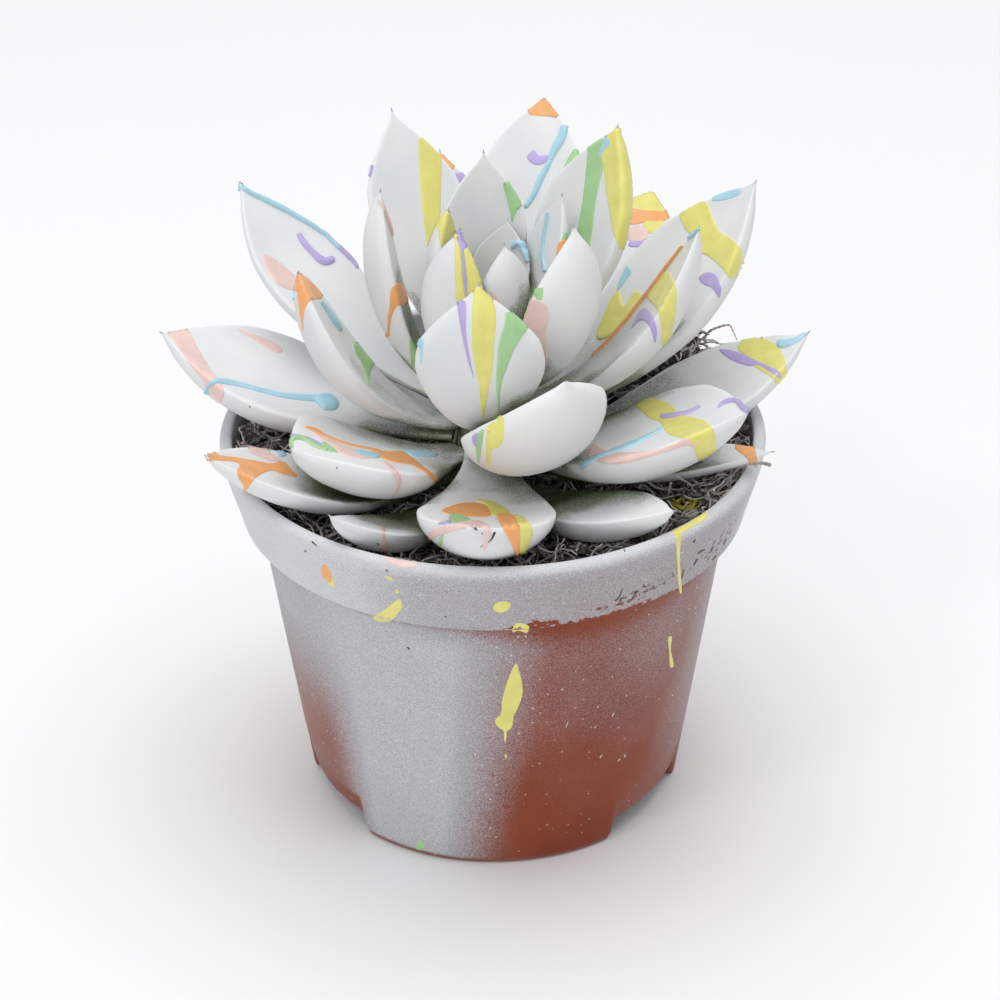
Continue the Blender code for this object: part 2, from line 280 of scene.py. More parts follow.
def new_group(name, inputs, outputs):
    """A shader node group with the given sockets, and its input and output nodes."""
    group = bpy.data.node_groups.new(name, "ShaderNodeTree")
    for label, kind, value in inputs:
        socket = group.interface.new_socket(label, in_out="INPUT", socket_type=kind)
        if value is not None:
            socket.default_value = value
    for label, kind in outputs:
        group.interface.new_socket(label, in_out="OUTPUT", socket_type=kind)
    given = group.nodes.new("NodeGroupInput").outputs
    wanted = group.nodes.new("NodeGroupOutput").inputs
    return group, given, wanted


def ramp(tree, value, low, high, to_low=0.0, to_high=1.0):
    """A clamped linear ramp from low to high."""
    return node(tree, "ShaderNodeMapRange", {
        "Value": value, "From Min": low, "From Max": high, "To Min": to_low, "To Max": to_high,
    }).outputs["Result"]


def maths(tree, operation, *values):
    made = tree.nodes.new("ShaderNodeMath")
    made.operation = operation
    for socket, value in zip(made.inputs, values):
        if isinstance(value, bpy.types.NodeSocket):
            tree.links.new(value, socket)
        else:
            socket.default_value = value
    return made.outputs[0]


def mixed(tree, share, low, high):
    """A colour between low and high, each a colour or a socket."""
    made = node(tree, "ShaderNodeMix", data_type="RGBA")
    for key, value in ((0, share), (6, low), (7, high)):
        if isinstance(value, bpy.types.NodeSocket):
            tree.links.new(value, made.inputs[key])
        else:
            made.inputs[key].default_value = value if key == 0 else (*value, 1)
    return made.outputs[2]


# Spray paint lands as fine drops. Where little of it arrives, single drops show.
spray_paint, given, wanted = new_group(
    "spray_paint",
    [("Place", "NodeSocketVector", None), ("Amount", "NodeSocketFloat", 0.5),
     ("Drops", "NodeSocketFloat", 1900.0), ("Mottle", "NodeSocketFloat", 3.0)],
    [("Cover", "NodeSocketFloat"), ("Relief", "NodeSocketFloat"), ("Single", "NodeSocketFloat")],
)
fine = node(spray_paint, "ShaderNodeTexNoise", {
    "Vector": given["Place"], "Scale": given["Drops"], "Detail": 2.0, "Roughness": 0.65})
grain = ramp(spray_paint, fine.outputs["Fac"], 0.33, 0.67)
drift = node(spray_paint, "ShaderNodeTexNoise", {
    "Vector": given["Place"], "Scale": 90.0, "Detail": 3.0})
amount = maths(spray_paint, "MULTIPLY_ADD", drift.outputs["Fac"], 0.14, -0.07)
amount = maths(spray_paint, "ADD", amount, given["Amount"])
level = ramp(spray_paint, amount, 0.0, 1.0)
patchy = maths(spray_paint, "MULTIPLY", level, maths(spray_paint, "SUBTRACT", 1.0, level))
patchy = maths(spray_paint, "MULTIPLY", maths(spray_paint, "ADD", patchy, 0.02), given["Mottle"])
uneven = maths(spray_paint, "SUBTRACT", grain, 0.5)
cover = maths(spray_paint, "MULTIPLY_ADD", uneven, patchy, level)
cover = ramp(spray_paint, cover, 0.0, 1.0)
spots = node(spray_paint, "ShaderNodeTexVoronoi", {"Vector": given["Place"], "Scale": 640.0})
far = node(spray_paint, "ShaderNodeSeparateColor", {"Color": spots.outputs["Color"]})
size = ramp(spray_paint, far.outputs["Red"], 0.45, 1.0, 0.0, 0.17)
drops = maths(spray_paint, "LESS_THAN", spots.outputs["Distance"], size)
scattered = ramp(spray_paint, given["Amount"], 0.0, 0.2, 0.45, 0.95)
drops = maths(spray_paint, "MULTIPLY", drops, scattered)
spray_paint.links.new(maths(spray_paint, "MAXIMUM", cover, drops), wanted["Cover"])
spray_paint.links.new(maths(spray_paint, "MULTIPLY", cover, grain), wanted["Relief"])
spray_paint.links.new(drops, wanted["Single"])


def new_material(name, roughness=0.6, specular=0.4):
    """A new material, its tree, its shader and the place on the object."""
    made = bpy.data.materials.new(name)
    made.use_nodes = True
    tree = made.node_tree
    shader = tree.nodes["Principled BSDF"]
    shader.inputs["Roughness"].default_value = roughness
    shader.inputs["Specular IOR Level"].default_value = specular
    place = tree.nodes.new("ShaderNodeTexCoord").outputs["Object"]
    return made, tree, shader, place


def value_of(tree, name):
    """A value that the mesh carries at each vertex."""
    return node(tree, "ShaderNodeAttribute", attribute_name=name).outputs["Fac"]


def relief(tree, shader, height, strength, distance):
    bump = node(tree, "ShaderNodeBump", {
        "Height": height, "Strength": strength, "Distance": distance})
    tree.links.new(bump.outputs["Normal"], shader.inputs["Normal"])


TERRACOTTA = (0.228, 0.038, 0.011)
TERRACOTTA_PALE = (0.275, 0.058, 0.022)
PAINT_THIN = (0.45, 0.465, 0.50)
PAINT_WHITE = (0.68, 0.69, 0.71)
# A grey-brown that stands in for shade on the chips high on the collar: painted shade.
CHIP_SHADE = (0.075, 0.055, 0.048)
terracotta, tree, shader, place = new_material("terracotta_plastic", 0.5, 0.22)
clouds = node(tree, "ShaderNodeTexNoise", {"Vector": place, "Scale": 38.0, "Detail": 4.0})
plastic = mixed(tree, ramp(tree, clouds.outputs["Fac"], 0.35, 0.7), TERRACOTTA, TERRACOTTA_PALE)
streaks = node(tree, "ShaderNodeMapping", {"Vector": place, "Scale": (0.75, 0.75, 1.2)})
flakes = node(tree, "ShaderNodeTexNoise", {
    "Vector": streaks.outputs["Vector"], "Scale": 760.0, "Detail": 4.0, "Roughness": 0.65})
bare = maths(tree, "MULTIPLY_ADD", value_of(tree, "chips"), 0.36, flakes.outputs["Fac"])
bare = ramp(tree, bare, 0.71, 0.75)
sprayed = node(tree, "ShaderNodeGroup", {
    "Place": place, "Amount": value_of(tree, "spray"), "Drops": 3300.0, "Mottle": 2.6},
    node_tree=spray_paint)
height = node(tree, "ShaderNodeSeparateXYZ", {"Vector": place}).outputs["Z"]
# High on the collar the bared plastic of the chips is darkened toward grey-brown: painted shade.
shaded_chips = maths(tree, "MULTIPLY", bare, ramp(tree, height, 0.0728, 0.0745, 0.0, 0.8))
plastic = mixed(tree, shaded_chips, plastic, CHIP_SHADE)
cover = maths(tree, "MULTIPLY", sprayed.outputs["Cover"], maths(tree, "SUBTRACT", 1.0, bare))
thick = maths(tree, "POWER", ramp(tree, value_of(tree, "spray"), 0.6, 0.98), 7.0)
grainy = maths(tree, "MULTIPLY_ADD", sprayed.outputs["Relief"], 0.75, -0.34)
thick = ramp(tree, maths(tree, "ADD", thick, grainy), 0.0, 1.0)
thick = maths(tree, "MAXIMUM", thick, sprayed.outputs["Single"])
white = mixed(tree, thick, PAINT_THIN, PAINT_WHITE)
tree.links.new(mixed(tree, cover, plastic, white), shader.inputs["Base Color"])
tree.links.new(ramp(tree, cover, 0.0, 1.0, 0.36, 0.62), shader.inputs["Roughness"])
relief(tree, shader, sprayed.outputs["Relief"], 0.25, 0.00012)
pot.data.materials.clear()
pot.data.materials.append(terracotta)
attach(pot, "root")
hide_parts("pot")

# The potting soil. Loose, fibrous, crumbly peat that was filled into the pot by hand and has
# sunk below the rim. It is heaped against the collar here and there, and holds the stem.
SOIL_TOP = 75 * MM
SOIL_GAP = 0.3 * MM
SOIL_EDGE = 51.5 * MM
HEAP_START = 37 * MM
HEAP_REACH = 14 * MM

# Azimuth and half width in degrees, then the height in millimetres.
HEAPS = ((-14, 36, 8.5), (178, 30, 9.0), (37, 13, 18.5), (6, 12, 2.5), (100, 50, 2.0))


def soil_bend(radius, z, turn):
    """The uneven top of the peat, with its heaps against the collar."""
    if z < SOIL_TOP - 0.5 * MM:
        return radius, z
    x = radius * math.cos(turn)
    y = radius * math.sin(turn)
    rough = noise.noise((x * 90, y * 90, 0.3)) * 1.6 + noise.noise((x * 260, y * 260, 4)) * 1.1
    rough += noise.noise((x * 800, y * 800, 9)) * 0.5
    edge = min(1, (SOIL_EDGE - radius) / (2 * MM) + 0.3)
    heaped = min(1, max(0, (radius - HEAP_START) / HEAP_REACH))
    heaped = heaped * heaped * (3 - 2 * heaped)
    heap = 0.8 * heaped
    for azimuth, width, height in HEAPS:
        aside = (math.degrees(turn) - azimuth + 180) % 360 - 180
        heap += heaped * height * math.exp(-((aside / width) ** 2))
    return radius, z + rough * MM * max(0.2, edge) + heap * MM


soil_profile = [
    (0, floor_z + WALL + SOIL_GAP),
    (FOOT_RADIUS - WALL, floor_z + WALL + SOIL_GAP),
    (BODY_TOP_RADIUS - WALL - SOIL_GAP, collar_bottom + WALL),
    (BODY_TOP_RADIUS - WALL - SOIL_GAP, collar_bottom + WALL + SOIL_GAP),
    (COLLAR_BOTTOM_RADIUS - WALL - SOIL_GAP, collar_bottom + WALL + SOIL_GAP),
    *line((COLLAR_BOTTOM_RADIUS - WALL - 0.1 * MM, SOIL_TOP), (1 * MM, SOIL_TOP), 90),
    (0, SOIL_TOP),
]
soil = mesh_object("peat_soil", *revolve(soil_profile, 240, soil_bend))
tidy_normals(soil)
places = vertices_of(soil)
radius = np.hypot(places[:, 0] - POT_X, places[:, 1] - POT_Y) / MM
add_values(soil, "spray", 0.03 + 0.12 * smooth(radius, 34, 54))
PEAT_DARK = (0.010, 0.008, 0.006)
PEAT_BROWN = (0.100, 0.075, 0.056)
PEAT_DUSTED = (0.42, 0.41, 0.41)
peat, tree, shader, place = new_material("peat", 0.95, 0.2)
clods = node(tree, "ShaderNodeTexNoise", {
    "Vector": place, "Scale": 700.0, "Detail": 5.0, "Roughness": 0.7})
earth = mixed(tree, ramp(tree, clods.outputs["Fac"], 0.35, 0.68), PEAT_DARK, PEAT_BROWN)
sprayed = node(tree, "ShaderNodeGroup", {
    "Place": place, "Amount": value_of(tree, "spray")}, node_tree=spray_paint)
tree.links.new(mixed(tree, sprayed.outputs["Cover"], earth, PEAT_DUSTED),
               shader.inputs["Base Color"])
relief(tree, shader, clods.outputs["Fac"], 0.9, 0.0006)
soil.data.materials.append(peat)
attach(soil, "root")
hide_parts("soil")

# A drop of yellow paint fell on the strands at this place, in metres.
STAINED = (0.0423, -0.0310, 0.0815)
STAIN_YELLOW = (0.62, 0.55, 0.05)
FIBRE_WHITE = (0.62, 0.61, 0.60)
SOIL_LOWEST = SOIL_TOP - 2.5 * MM
STRAND_POINTS = 9


def fibre_material(name, dark, pale, whitened):
    """Dry plant fibre, dusted with white paint."""
    made, tree, shader, place = new_material(name, 0.85, 0.25)
    tone = node(tree, "ShaderNodeTexNoise", {"Vector": place, "Scale": 260.0, "Detail": 3.0})
    colour = mixed(tree, ramp(tree, tone.outputs["Fac"], 0.40, 0.62), dark, pale)
    sprayed = node(tree, "ShaderNodeGroup", {
        "Place": place, "Amount": whitened, "Drops": 900.0}, node_tree=spray_paint)
    colour = mixed(tree, sprayed.outputs["Cover"], colour, FIBRE_WHITE)
    offset = node(tree, "ShaderNodeVectorMath", {0: place, 1: STAINED}, operation="DISTANCE")
    stain = maths(tree, "MULTIPLY_ADD", tone.outputs["Fac"], 0.004, offset.outputs["Value"])
    colour = mixed(tree, ramp(tree, stain, 0.0058, 0.0050), colour, STAIN_YELLOW)
    tree.links.new(colour, shader.inputs["Base Color"])
    relief(tree, shader, tone.outputs["Fac"], 0.4, 0.0002)
    return made


def geometry_tree(name, inputs):
    """An empty Geometry Nodes tree with named size inputs and a geometry in and out."""
    tree = bpy.data.node_groups.new(name, "GeometryNodeTree")
    tree.interface.new_socket("Geometry", in_out="INPUT", socket_type="NodeSocketGeometry")
    for label, kind, value in inputs:
        tree.interface.new_socket(label, in_out="INPUT", socket_type=kind).default_value = value
    tree.interface.new_socket("Geometry", in_out="OUTPUT", socket_type="NodeSocketGeometry")
    return tree, tree.nodes.new("NodeGroupInput").outputs, tree.nodes.new("NodeGroupOutput").inputs


def made_by(tree, source, name, values):
    """The plain mesh that the tree makes from the source object, as a new object."""
    holder = bpy.data.objects.new(name, source.data.copy())
    bpy.context.scene.collection.objects.link(holder)
    modifier = holder.modifiers.new("nodes", "NODES")
    modifier.node_group = tree
    for item in tree.interface.items_tree:
        if item.item_type == "SOCKET" and item.in_out == "INPUT" and item.name in values:
            modifier[item.identifier] = values[item.name]
    graph = bpy.context.evaluated_depsgraph_get()
    mesh = bpy.data.meshes.new_from_object(holder.evaluated_get(graph))
    holder.modifiers.clear()
    holder.data = mesh
    mesh.name = name
    mesh.shade_smooth()
    return holder


def on_top(tree, lowest):
    """True on faces of the soil that look up, above the given height."""
    height = node(tree, "ShaderNodeSeparateXYZ", {
        "Vector": node(tree, "GeometryNodeInputPosition").outputs[0]}).outputs["Z"]
    return node(tree, "FunctionNodeCompare", {0: height, 1: lowest},
                data_type="FLOAT", operation="GREATER_THAN").outputs["Result"]


def fibre_tree(name, material):
    """Loose strands lying on the soil, each bent its own way."""
    tree, given, wanted = geometry_tree(name, [
        ("Count per area", "NodeSocketFloat", 100000.0), ("Length", "NodeSocketFloat", 0.01),
        ("Radius", "NodeSocketFloat", 0.0002), ("Bend", "NodeSocketFloat", 0.003),
        ("Lift", "NodeSocketFloat", 0.0), ("Seed", "NodeSocketInt", 1)])
    spread = node(tree, "GeometryNodeDistributePointsOnFaces", {
        "Mesh": given["Geometry"], "Selection": on_top(tree, SOIL_LOWEST),
        "Density": given["Count per area"], "Seed": given["Seed"]})
    strand = node(tree, "GeometryNodeCurvePrimitiveLine", {"End": (1.0, 0.0, 0.0)})
    strand = node(tree, "GeometryNodeResampleCurve", {
        "Curve": strand.outputs[0], "Count": STRAND_POINTS})
    size = node(tree, "FunctionNodeRandomValue", {2: 0.4, 3: 1.3, "ID": node(
        tree, "GeometryNodeInputIndex").outputs[0], "Seed": 3}, data_type="FLOAT")
    size = maths(tree, "MULTIPLY", size.outputs[1], given["Length"])
    turn = node(tree, "FunctionNodeRandomValue", {
        0: (-0.25, -0.75, 0.0), 1: (0.25, 0.25, math.tau), "Seed": given["Seed"]},
        data_type="FLOAT_VECTOR")
    laid = node(tree, "GeometryNodeInstanceOnPoints", {
        "Points": spread.outputs["Points"], "Instance": strand.outputs[0],
        "Rotation": turn.outputs[0], "Scale": size})
    loose = node(tree, "GeometryNodeRealizeInstances", {"Geometry": laid.outputs[0]})
    wander = node(tree, "ShaderNodeTexNoise", {"Scale": 140.0, "Detail": 1.0})
    wander = node(tree, "ShaderNodeVectorMath", {
        0: wander.outputs["Color"], 1: (-0.5, -0.5, -0.42)}, operation="ADD")
    wander = node(tree, "ShaderNodeVectorMath", {0: wander.outputs[0]}, operation="SCALE")
    tree.links.new(given["Bend"], wander.inputs["Scale"])
    up = node(tree, "ShaderNodeCombineXYZ", {"Z": given["Lift"]})
    moved = node(tree, "ShaderNodeVectorMath", {0: wander.outputs[0], 1: up.outputs[0]},
                 operation="ADD")
    bent = node(tree, "GeometryNodeSetPosition", {
        "Geometry": loose.outputs[0], "Offset": moved.outputs[0]})
    ring = node(tree, "GeometryNodeCurvePrimitiveCircle", {"Resolution": 4, "Radius": 1.0})
    thick = node(tree, "FunctionNodeRandomValue", {2: 0.35, 3: 1.2, "Seed": 8}, data_type="FLOAT")
    thick = maths(tree, "MULTIPLY", thick.outputs[1], given["Radius"])
    tube = node(tree, "GeometryNodeCurveToMesh", {
        "Curve": bent.outputs[0], "Profile Curve": ring.outputs[0], "Fill Caps": True,
        "Scale": thick})
    flat = node(tree, "GeometryNodeRealizeInstances", {"Geometry": tube.outputs[0]})
    coloured = node(tree, "GeometryNodeSetMaterial", {
        "Geometry": flat.outputs[0], "Material": material})
    tree.links.new(coloured.outputs[0], wanted["Geometry"])
    return tree


def clod_tree(material):
    """Crumbs of peat, each a squashed lump."""
    tree, given, wanted = geometry_tree("peat_crumbs", [
        ("Count per area", "NodeSocketFloat", 100000.0), ("Size", "NodeSocketFloat", 0.001),
        ("Seed", "NodeSocketInt", 1)])
    spread = node(tree, "GeometryNodeDistributePointsOnFaces", {
        "Mesh": given["Geometry"], "Selection": on_top(tree, SOIL_LOWEST),
        "Density": given["Count per area"], "Seed": given["Seed"]})
    lump = node(tree, "GeometryNodeMeshIcoSphere", {"Radius": 1.0, "Subdivisions": 1})
    size = node(tree, "FunctionNodeRandomValue", {
        0: (0.5, 0.3, 0.25), 1: (1.7, 0.8, 0.6), "Seed": 5}, data_type="FLOAT_VECTOR")
    size = node(tree, "ShaderNodeVectorMath", {0: size.outputs[0]}, operation="SCALE")
    tree.links.new(given["Size"], size.inputs["Scale"])
    turn = node(tree, "FunctionNodeRandomValue", {
        0: (-0.6, -0.6, 0.0), 1: (0.6, 0.6, math.tau), "Seed": given["Seed"]},
        data_type="FLOAT_VECTOR")
    laid = node(tree, "GeometryNodeInstanceOnPoints", {
        "Points": spread.outputs["Points"], "Instance": lump.outputs[0],
        "Rotation": turn.outputs[0], "Scale": size.outputs[0]})
    loose = node(tree, "GeometryNodeRealizeInstances", {"Geometry": laid.outputs[0]})
    jag = node(tree, "ShaderNodeTexNoise", {"Scale": 900.0})
    jag = node(tree, "ShaderNodeVectorMath", {
        0: jag.outputs["Color"], 1: (-0.5, -0.5, -0.5)}, operation="ADD")
    jag = node(tree, "ShaderNodeVectorMath", {0: jag.outputs[0]}, operation="SCALE")
    tree.links.new(given["Size"], jag.inputs["Scale"])
    rough = node(tree, "GeometryNodeSetPosition", {
        "Geometry": loose.outputs[0], "Offset": jag.outputs[0]})
    coloured = node(tree, "GeometryNodeSetMaterial", {
        "Geometry": rough.outputs[0], "Material": material})
    tree.links.new(coloured.outputs[0], wanted["Geometry"])
    return tree


def keep_in_pot(obj):
    """Strands that reach the pot's wall lie along it."""
    places = vertices_of(obj)
    x = places[:, 0] - POT_X
    y = places[:, 1] - POT_Y
    radius = np.hypot(x, y)
    wall = COLLAR_BOTTOM_RADIUS - WALL + (places[:, 2] - collar_bottom) * 0.14 - 0.6 * MM
    share = np.minimum(1, wall / np.maximum(radius, 1e-6))
    places[:, 0] = POT_X + x * share
    places[:, 1] = POT_Y + y * share
    places[:, 2] = np.maximum(places[:, 2], SOIL_TOP - 3 * MM)
    obj.data.vertices.foreach_set("co", places.ravel())
    obj.data.update()


brown_fibre = fibre_material("peat_fibre", (0.030, 0.021, 0.016), (0.37, 0.295, 0.24), 0.17)
pale_fibre = fibre_material("pale_fibre", (0.30, 0.255, 0.225), (0.78, 0.75, 0.72), 0.5)
crumbs = made_by(clod_tree(brown_fibre), soil, "peat_crumbs", {
    "Count per area": 190000.0, "Size": 1.25 * MM, "Seed": 11})
strands = made_by(fibre_tree("peat_strands", brown_fibre), soil, "peat_strands", {
    "Count per area": 210000.0, "Length": 7 * MM, "Radius": 0.38 * MM, "Bend": 6 * MM,
    "Lift": 0.5 * MM, "Seed": 4})
threads = made_by(fibre_tree("pale_threads", pale_fibre), soil, "pale_threads", {
    "Count per area": 150000.0, "Length": 9 * MM, "Radius": 0.22 * MM, "Bend": 9 * MM,
    "Lift": 1.1 * MM, "Seed": 9})
for loose in (crumbs, strands, threads):
    keep_in_pot(loose)
    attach(loose, "root")

# The stem. Short and woody, grown in one piece from its root in the peat up to the growing
# tip; every leaf sits on it. It is green, because the spray paint never reached it.
BARK_DARK = (0.06, 0.08, 0.03)
BARK_PALE = (0.24, 0.27, 0.17)
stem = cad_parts["stem"]
bark, tree, shader, place = new_material("stem_bark", 0.8, 0.3)
scars = node(tree, "ShaderNodeTexNoise", {"Vector": place, "Scale": 300.0, "Detail": 4.0})
tree.links.new(mixed(tree, ramp(tree, scars.outputs["Fac"], 0.35, 0.65), BARK_DARK, BARK_PALE),
               shader.inputs["Base Color"])
relief(tree, shader, scars.outputs["Fac"], 0.6, 0.0004)
for material_slot in stem.material_slots:
    material_slot.material = bark

# The leaves. Thick pointed leaves of a living echeveria in a rosette round a short stem, each
# dipped in matt white paint. Azimuth, height, rise, curl, length, width and thickness in degrees
# and millimetres, then any sway, twist, taper and lateness of the curl.
STEM_X = POT_X - 2.5 * MM
STEM_Y = POT_Y - 1.0 * MM
LEAVES = (
    (-112.5, 77.5, 0.5, 46.5, 56.5, 14, 5.4, dict(sway=-23, late=1.45)),
    (153, 78, -2, 12, 44, 15, 3.2, {}),
    (50, 78, -2, 10, 38, 14, 3.2, {}),
    (-17, 78, 7.5, 15, 60.5, 14, 3.2, dict(sway=-4)),
    (-56, 78.5, 2, 29, 56, 18.5, 6.9, dict(sway=17, late=1.1)),
    (91, 79.5, 0, 20, 48, 18, 3.3, {}),
    (-145, 80, 1, 42, 66, 25, 5.2, dict(sway=-8, late=1.2)),
    (8, 81.5, 1, 36, 72, 27.5, 6.6, dict(sway=8.5, late=1.15)),
    (124, 82, 0, 26, 52, 22, 3.8, {}),
    (-26.5, 85, 7.5, 27.5, 60, 35, 9.2, dict(sway=2.5)),
    (-135.5, 85, 6.5, 24.5, 49, 33.5, 9.0, dict(sway=-9, late=0.7)),
    (58, 85.5, 10, 12.5, 83, 30, 4.7, dict(sway=8, taper=0.85, late=0.9)),
    (171.5, 88, 1.5, 31.5, 68, 33.5, 8.5, dict(sway=1, late=1.1)),
    (-85, 88.5, -12.5, 59, 60, 29, 8.0, dict(sway=-14.5, late=1.4)),
    (25, 89, 4, 54.5, 77.5, 33.5, 8.7, dict(sway=-3.5, late=0.65)),
    (99, 89.5, 25, 24, 65, 22, 6.0, {}),
    (193.5, 91, 7, 73, 54.5, 22.5, 6.5, dict(sway=-3, twist=-4.5, taper=0.8, late=0.7)),
    (-73.5, 92.5, 8.5, 70, 50, 33, 10.4, dict(sway=21, late=1.4)),
    (145.5, 93, 11.5, 39.5, 73, 24.5, 6.4, dict(sway=-6.5, taper=1.2, late=1.15)),
    (-3.5, 93.5, 11, 69.5, 63, 24, 6.0, dict(sway=6, twist=-7, taper=0.85, late=0.95)),
    (74, 94, 33.5, 13, 72, 26.5, 5.5, dict(sway=4, taper=0.9, late=0.85)),
    (177, 95.5, 41.5, 52, 53, 15, 6.6, dict(sway=1, twist=2, late=0.65)),
    (-89.5, 96.5, 18, 83.5, 54.5, 27, 9.4, dict(sway=-3, taper=1.1, late=1.05)),
    (30, 97, 49, 28.5, 62.5, 27, 8.2, dict(twist=4, taper=1.1, late=1.1)),
    (-33, 98.5, 37.5, 53.5, 49.5, 22, 9.3, dict(sway=-2, twist=-0.5, taper=1.3, late=0.75)),
    (118, 98.5, 41.5, 20.5, 61.5, 23, 6.5, dict(sway=-4.5, taper=1.2)),
    (-125, 98.5, 58, 59.5, 42, 15.5, 4.8, dict(sway=3.5)),
    (85.5, 102, 61.5, 18, 45.5, 18.5, 5.5, dict(sway=5, twist=2, taper=1.1)),
    (172, 103.5, 71, 31, 37.5, 11, 4.6, dict(sway=-14, twist=-3, late=0.85)),
    (28, 104.5, 57, 18.5, 38, 11.5, 4.7, dict(sway=8, late=1.15)),
    (61, 106.5, 66, 9, 27.5, 13.5, 2.7, dict(sway=8.5, taper=1.15)),
    (-41, 107.5, 75.5, 21, 27.5, 13, 6.0, dict(sway=-3, taper=1.15, late=1.1)),
    (-110, 111, 77, 10, 14, 7, 1.8, {}),
    (20, 112, 78, 10, 12, 6, 1.6, {}),
    (140, 112, 78, 10, 13, 6, 1.6, {}),
)
LEAF_WIDTHS = (
    (0, 0.28), (0.12, 0.35), (0.30, 0.60), (0.46, 0.87), (0.60, 1.0),
    (0.72, 0.94), (0.83, 0.70), (0.92, 0.38), (0.97, 0.14), (1.0, 0.02),
)
LEAF_THICKNESSES = (
    (0, 0.36), (0.14, 0.48), (0.38, 0.88), (0.60, 1.0), (0.80, 0.80), (0.93, 0.44), (1.0, 0.06),
)
CUP_GROWTH = ((0, 0.3), (0.3, 0.8), (0.7, 1.0), (1.0, 1.0))
CUP = 0.22
SIDES = 48
STATIONS = 64
TIP_STATIONS = 14
SPINE_STEPS = 96

# Of a leaf's thickness, this much lies above its middle line and the rest below.
ABOVE_SHARE = 0.26
BELOW_SHARE = 0.74
EDGE_POWER = 0.9

# How far the rings of the horny point stand past the leaf's end, and how wide they are.
POINT_RINGS = ((0.2, 0.22), (0.5, 0.15), (0.8, 0.09), (1.05, 0.04))
BLUNT = (7, 12, 18, 19, 21)


def read_curve(points, at):
    """Values of the smooth curve through (place, value) points that never overshoots them."""
    x, y = np.array(points).T
    slopes = np.diff(y) / np.diff(x)
    tangents = np.empty(len(x))
    tangents[0] = slopes[0]
    tangents[-1] = slopes[-1]
    for i, (before, after) in enumerate(zip(slopes, slopes[1:]), 1):
        tangents[i] = 0 if before * after <= 0 else 2 * before * after / (before + after)
    i = np.clip(np.searchsorted(x, at) - 1, 0, len(x) - 2)
    span = x[i + 1] - x[i]
    t = (at - x[i]) / span
    return ((2 * t**3 - 3 * t**2 + 1) * y[i] + (t**3 - 2 * t**2 + t) * span * tangents[i]
            + (3 * t**2 - 2 * t**3) * y[i + 1] + (t**3 - t**2) * span * tangents[i + 1])


def leaf_frames(azimuth, height, rise, curl, length, width, thickness,
                sway=0, twist=0, taper=1, late=1):
    """Places along the leaf with its middle line, sideways and upward directions."""
    share = np.linspace(0, 1, SPINE_STEPS + 1)
    slope = np.radians(rise + curl * share**late)
    turn = np.radians(azimuth + sway * share)
    flat = np.stack([np.cos(turn), np.sin(turn), 0 * turn], 1)
    along = np.cos(slope)[:, None] * flat + np.sin(slope)[:, None] * np.array([0, 0, 1])
    flat_side = np.stack([-np.sin(turn), np.cos(turn), 0 * turn], 1)
    lean = np.radians(twist) * np.minimum(1, 2.5 * share)
    side = np.cos(lean)[:, None] * flat_side + np.sin(lean)[:, None] * np.cross(along, flat_side)
    up = np.cross(along, side)
    facing = ABOVE_SHARE if rise > 0 else BELOW_SHARE
    stem_radius = 6.5 - 3.5 * max(0, height - 75) / 41
    start = stem_radius + 0.6 + facing * 0.36 * thickness * abs(math.sin(math.radians(rise)))
    out = math.radians(azimuth)
    base = np.array([STEM_X + start * MM * math.cos(out), STEM_Y + start * MM * math.sin(out),
                     height * MM])
    steps = (along[1:] + along[:-1]) / 2 * (length * MM / SPINE_STEPS)
    middle = np.vstack([base, base + np.cumsum(steps, 0)])
    return share, middle, along, side, up


def leaf_shape(number, azimuth, height, rise, curl, length, width, thickness, extra):
    """Rings of points from the leaf's foot to its horny point, and each ring's place along it."""
    share, middle, along, side, up = leaf_frames(
        azimuth, height, rise, curl, length, width, thickness, **extra)
    at = np.concatenate([
        np.linspace(0, 0.9, STATIONS - TIP_STATIONS), np.linspace(0.91, 1, TIP_STATIONS)])

    def read(values):
        return np.stack([np.interp(at, share, values[:, k]) for k in range(3)], 1)

    widths = read_curve(LEAF_WIDTHS, at)
    taper = extra.get("taper", 1)
    widths = np.where(at > 0.6, widths**taper, widths) * width * MM / 2
    depths = read_curve(LEAF_THICKNESSES, at) * thickness * MM
    cup = CUP * read_curve(CUP_GROWTH, at) * widths
    turn = np.linspace(0, math.tau, SIDES, endpoint=False)
    across = np.sign(np.cos(turn)) * np.abs(np.cos(turn)) ** EDGE_POWER
    above = np.sign(np.sin(turn)) * np.abs(np.sin(turn)) ** EDGE_POWER
    part = np.where(above > 0, ABOVE_SHARE, BELOW_SHARE)
    lift = (part * above)[None] * depths[:, None] + cup[:, None] * (across**2)[None]
    points = (read(middle)[:, None]
              + (widths[:, None] * across[None])[..., None] * read(side)[:, None]
              + lift[..., None] * read(up)[:, None])
    tip = middle[-1]
    spike = []
    for reach, size in POINT_RINGS:
        ring = tip + along[-1] * reach * MM * (0.3 if number in BLUNT else 1)
        circle = np.cos(turn)[:, None] * side[-1] + np.sin(turn)[:, None] * up[-1]
        spike.append(ring + circle * size * MM * min(1, length / 45))
    points = np.concatenate([points, np.array(spike)])
    places = np.concatenate([at, np.linspace(1.02, 1.1, len(POINT_RINGS))])
    return points, places, across


leaf_meshes = []
for number, leaf in enumerate(LEAVES, 1):
    points, places, across = leaf_shape(number, *leaf)
    rows, columns = points.shape[:2]
    grid = np.arange(rows * columns).reshape(rows, columns)
    beside = np.roll(grid, -1, 1)
    quads = np.stack([grid[:-1], beside[:-1], beside[1:], grid[1:]], -1).reshape(-1, 4).tolist()
    faces = quads + [grid[0][::-1].tolist(), grid[-1].tolist()]
    leaf_meshes.append((points, faces, places, across))

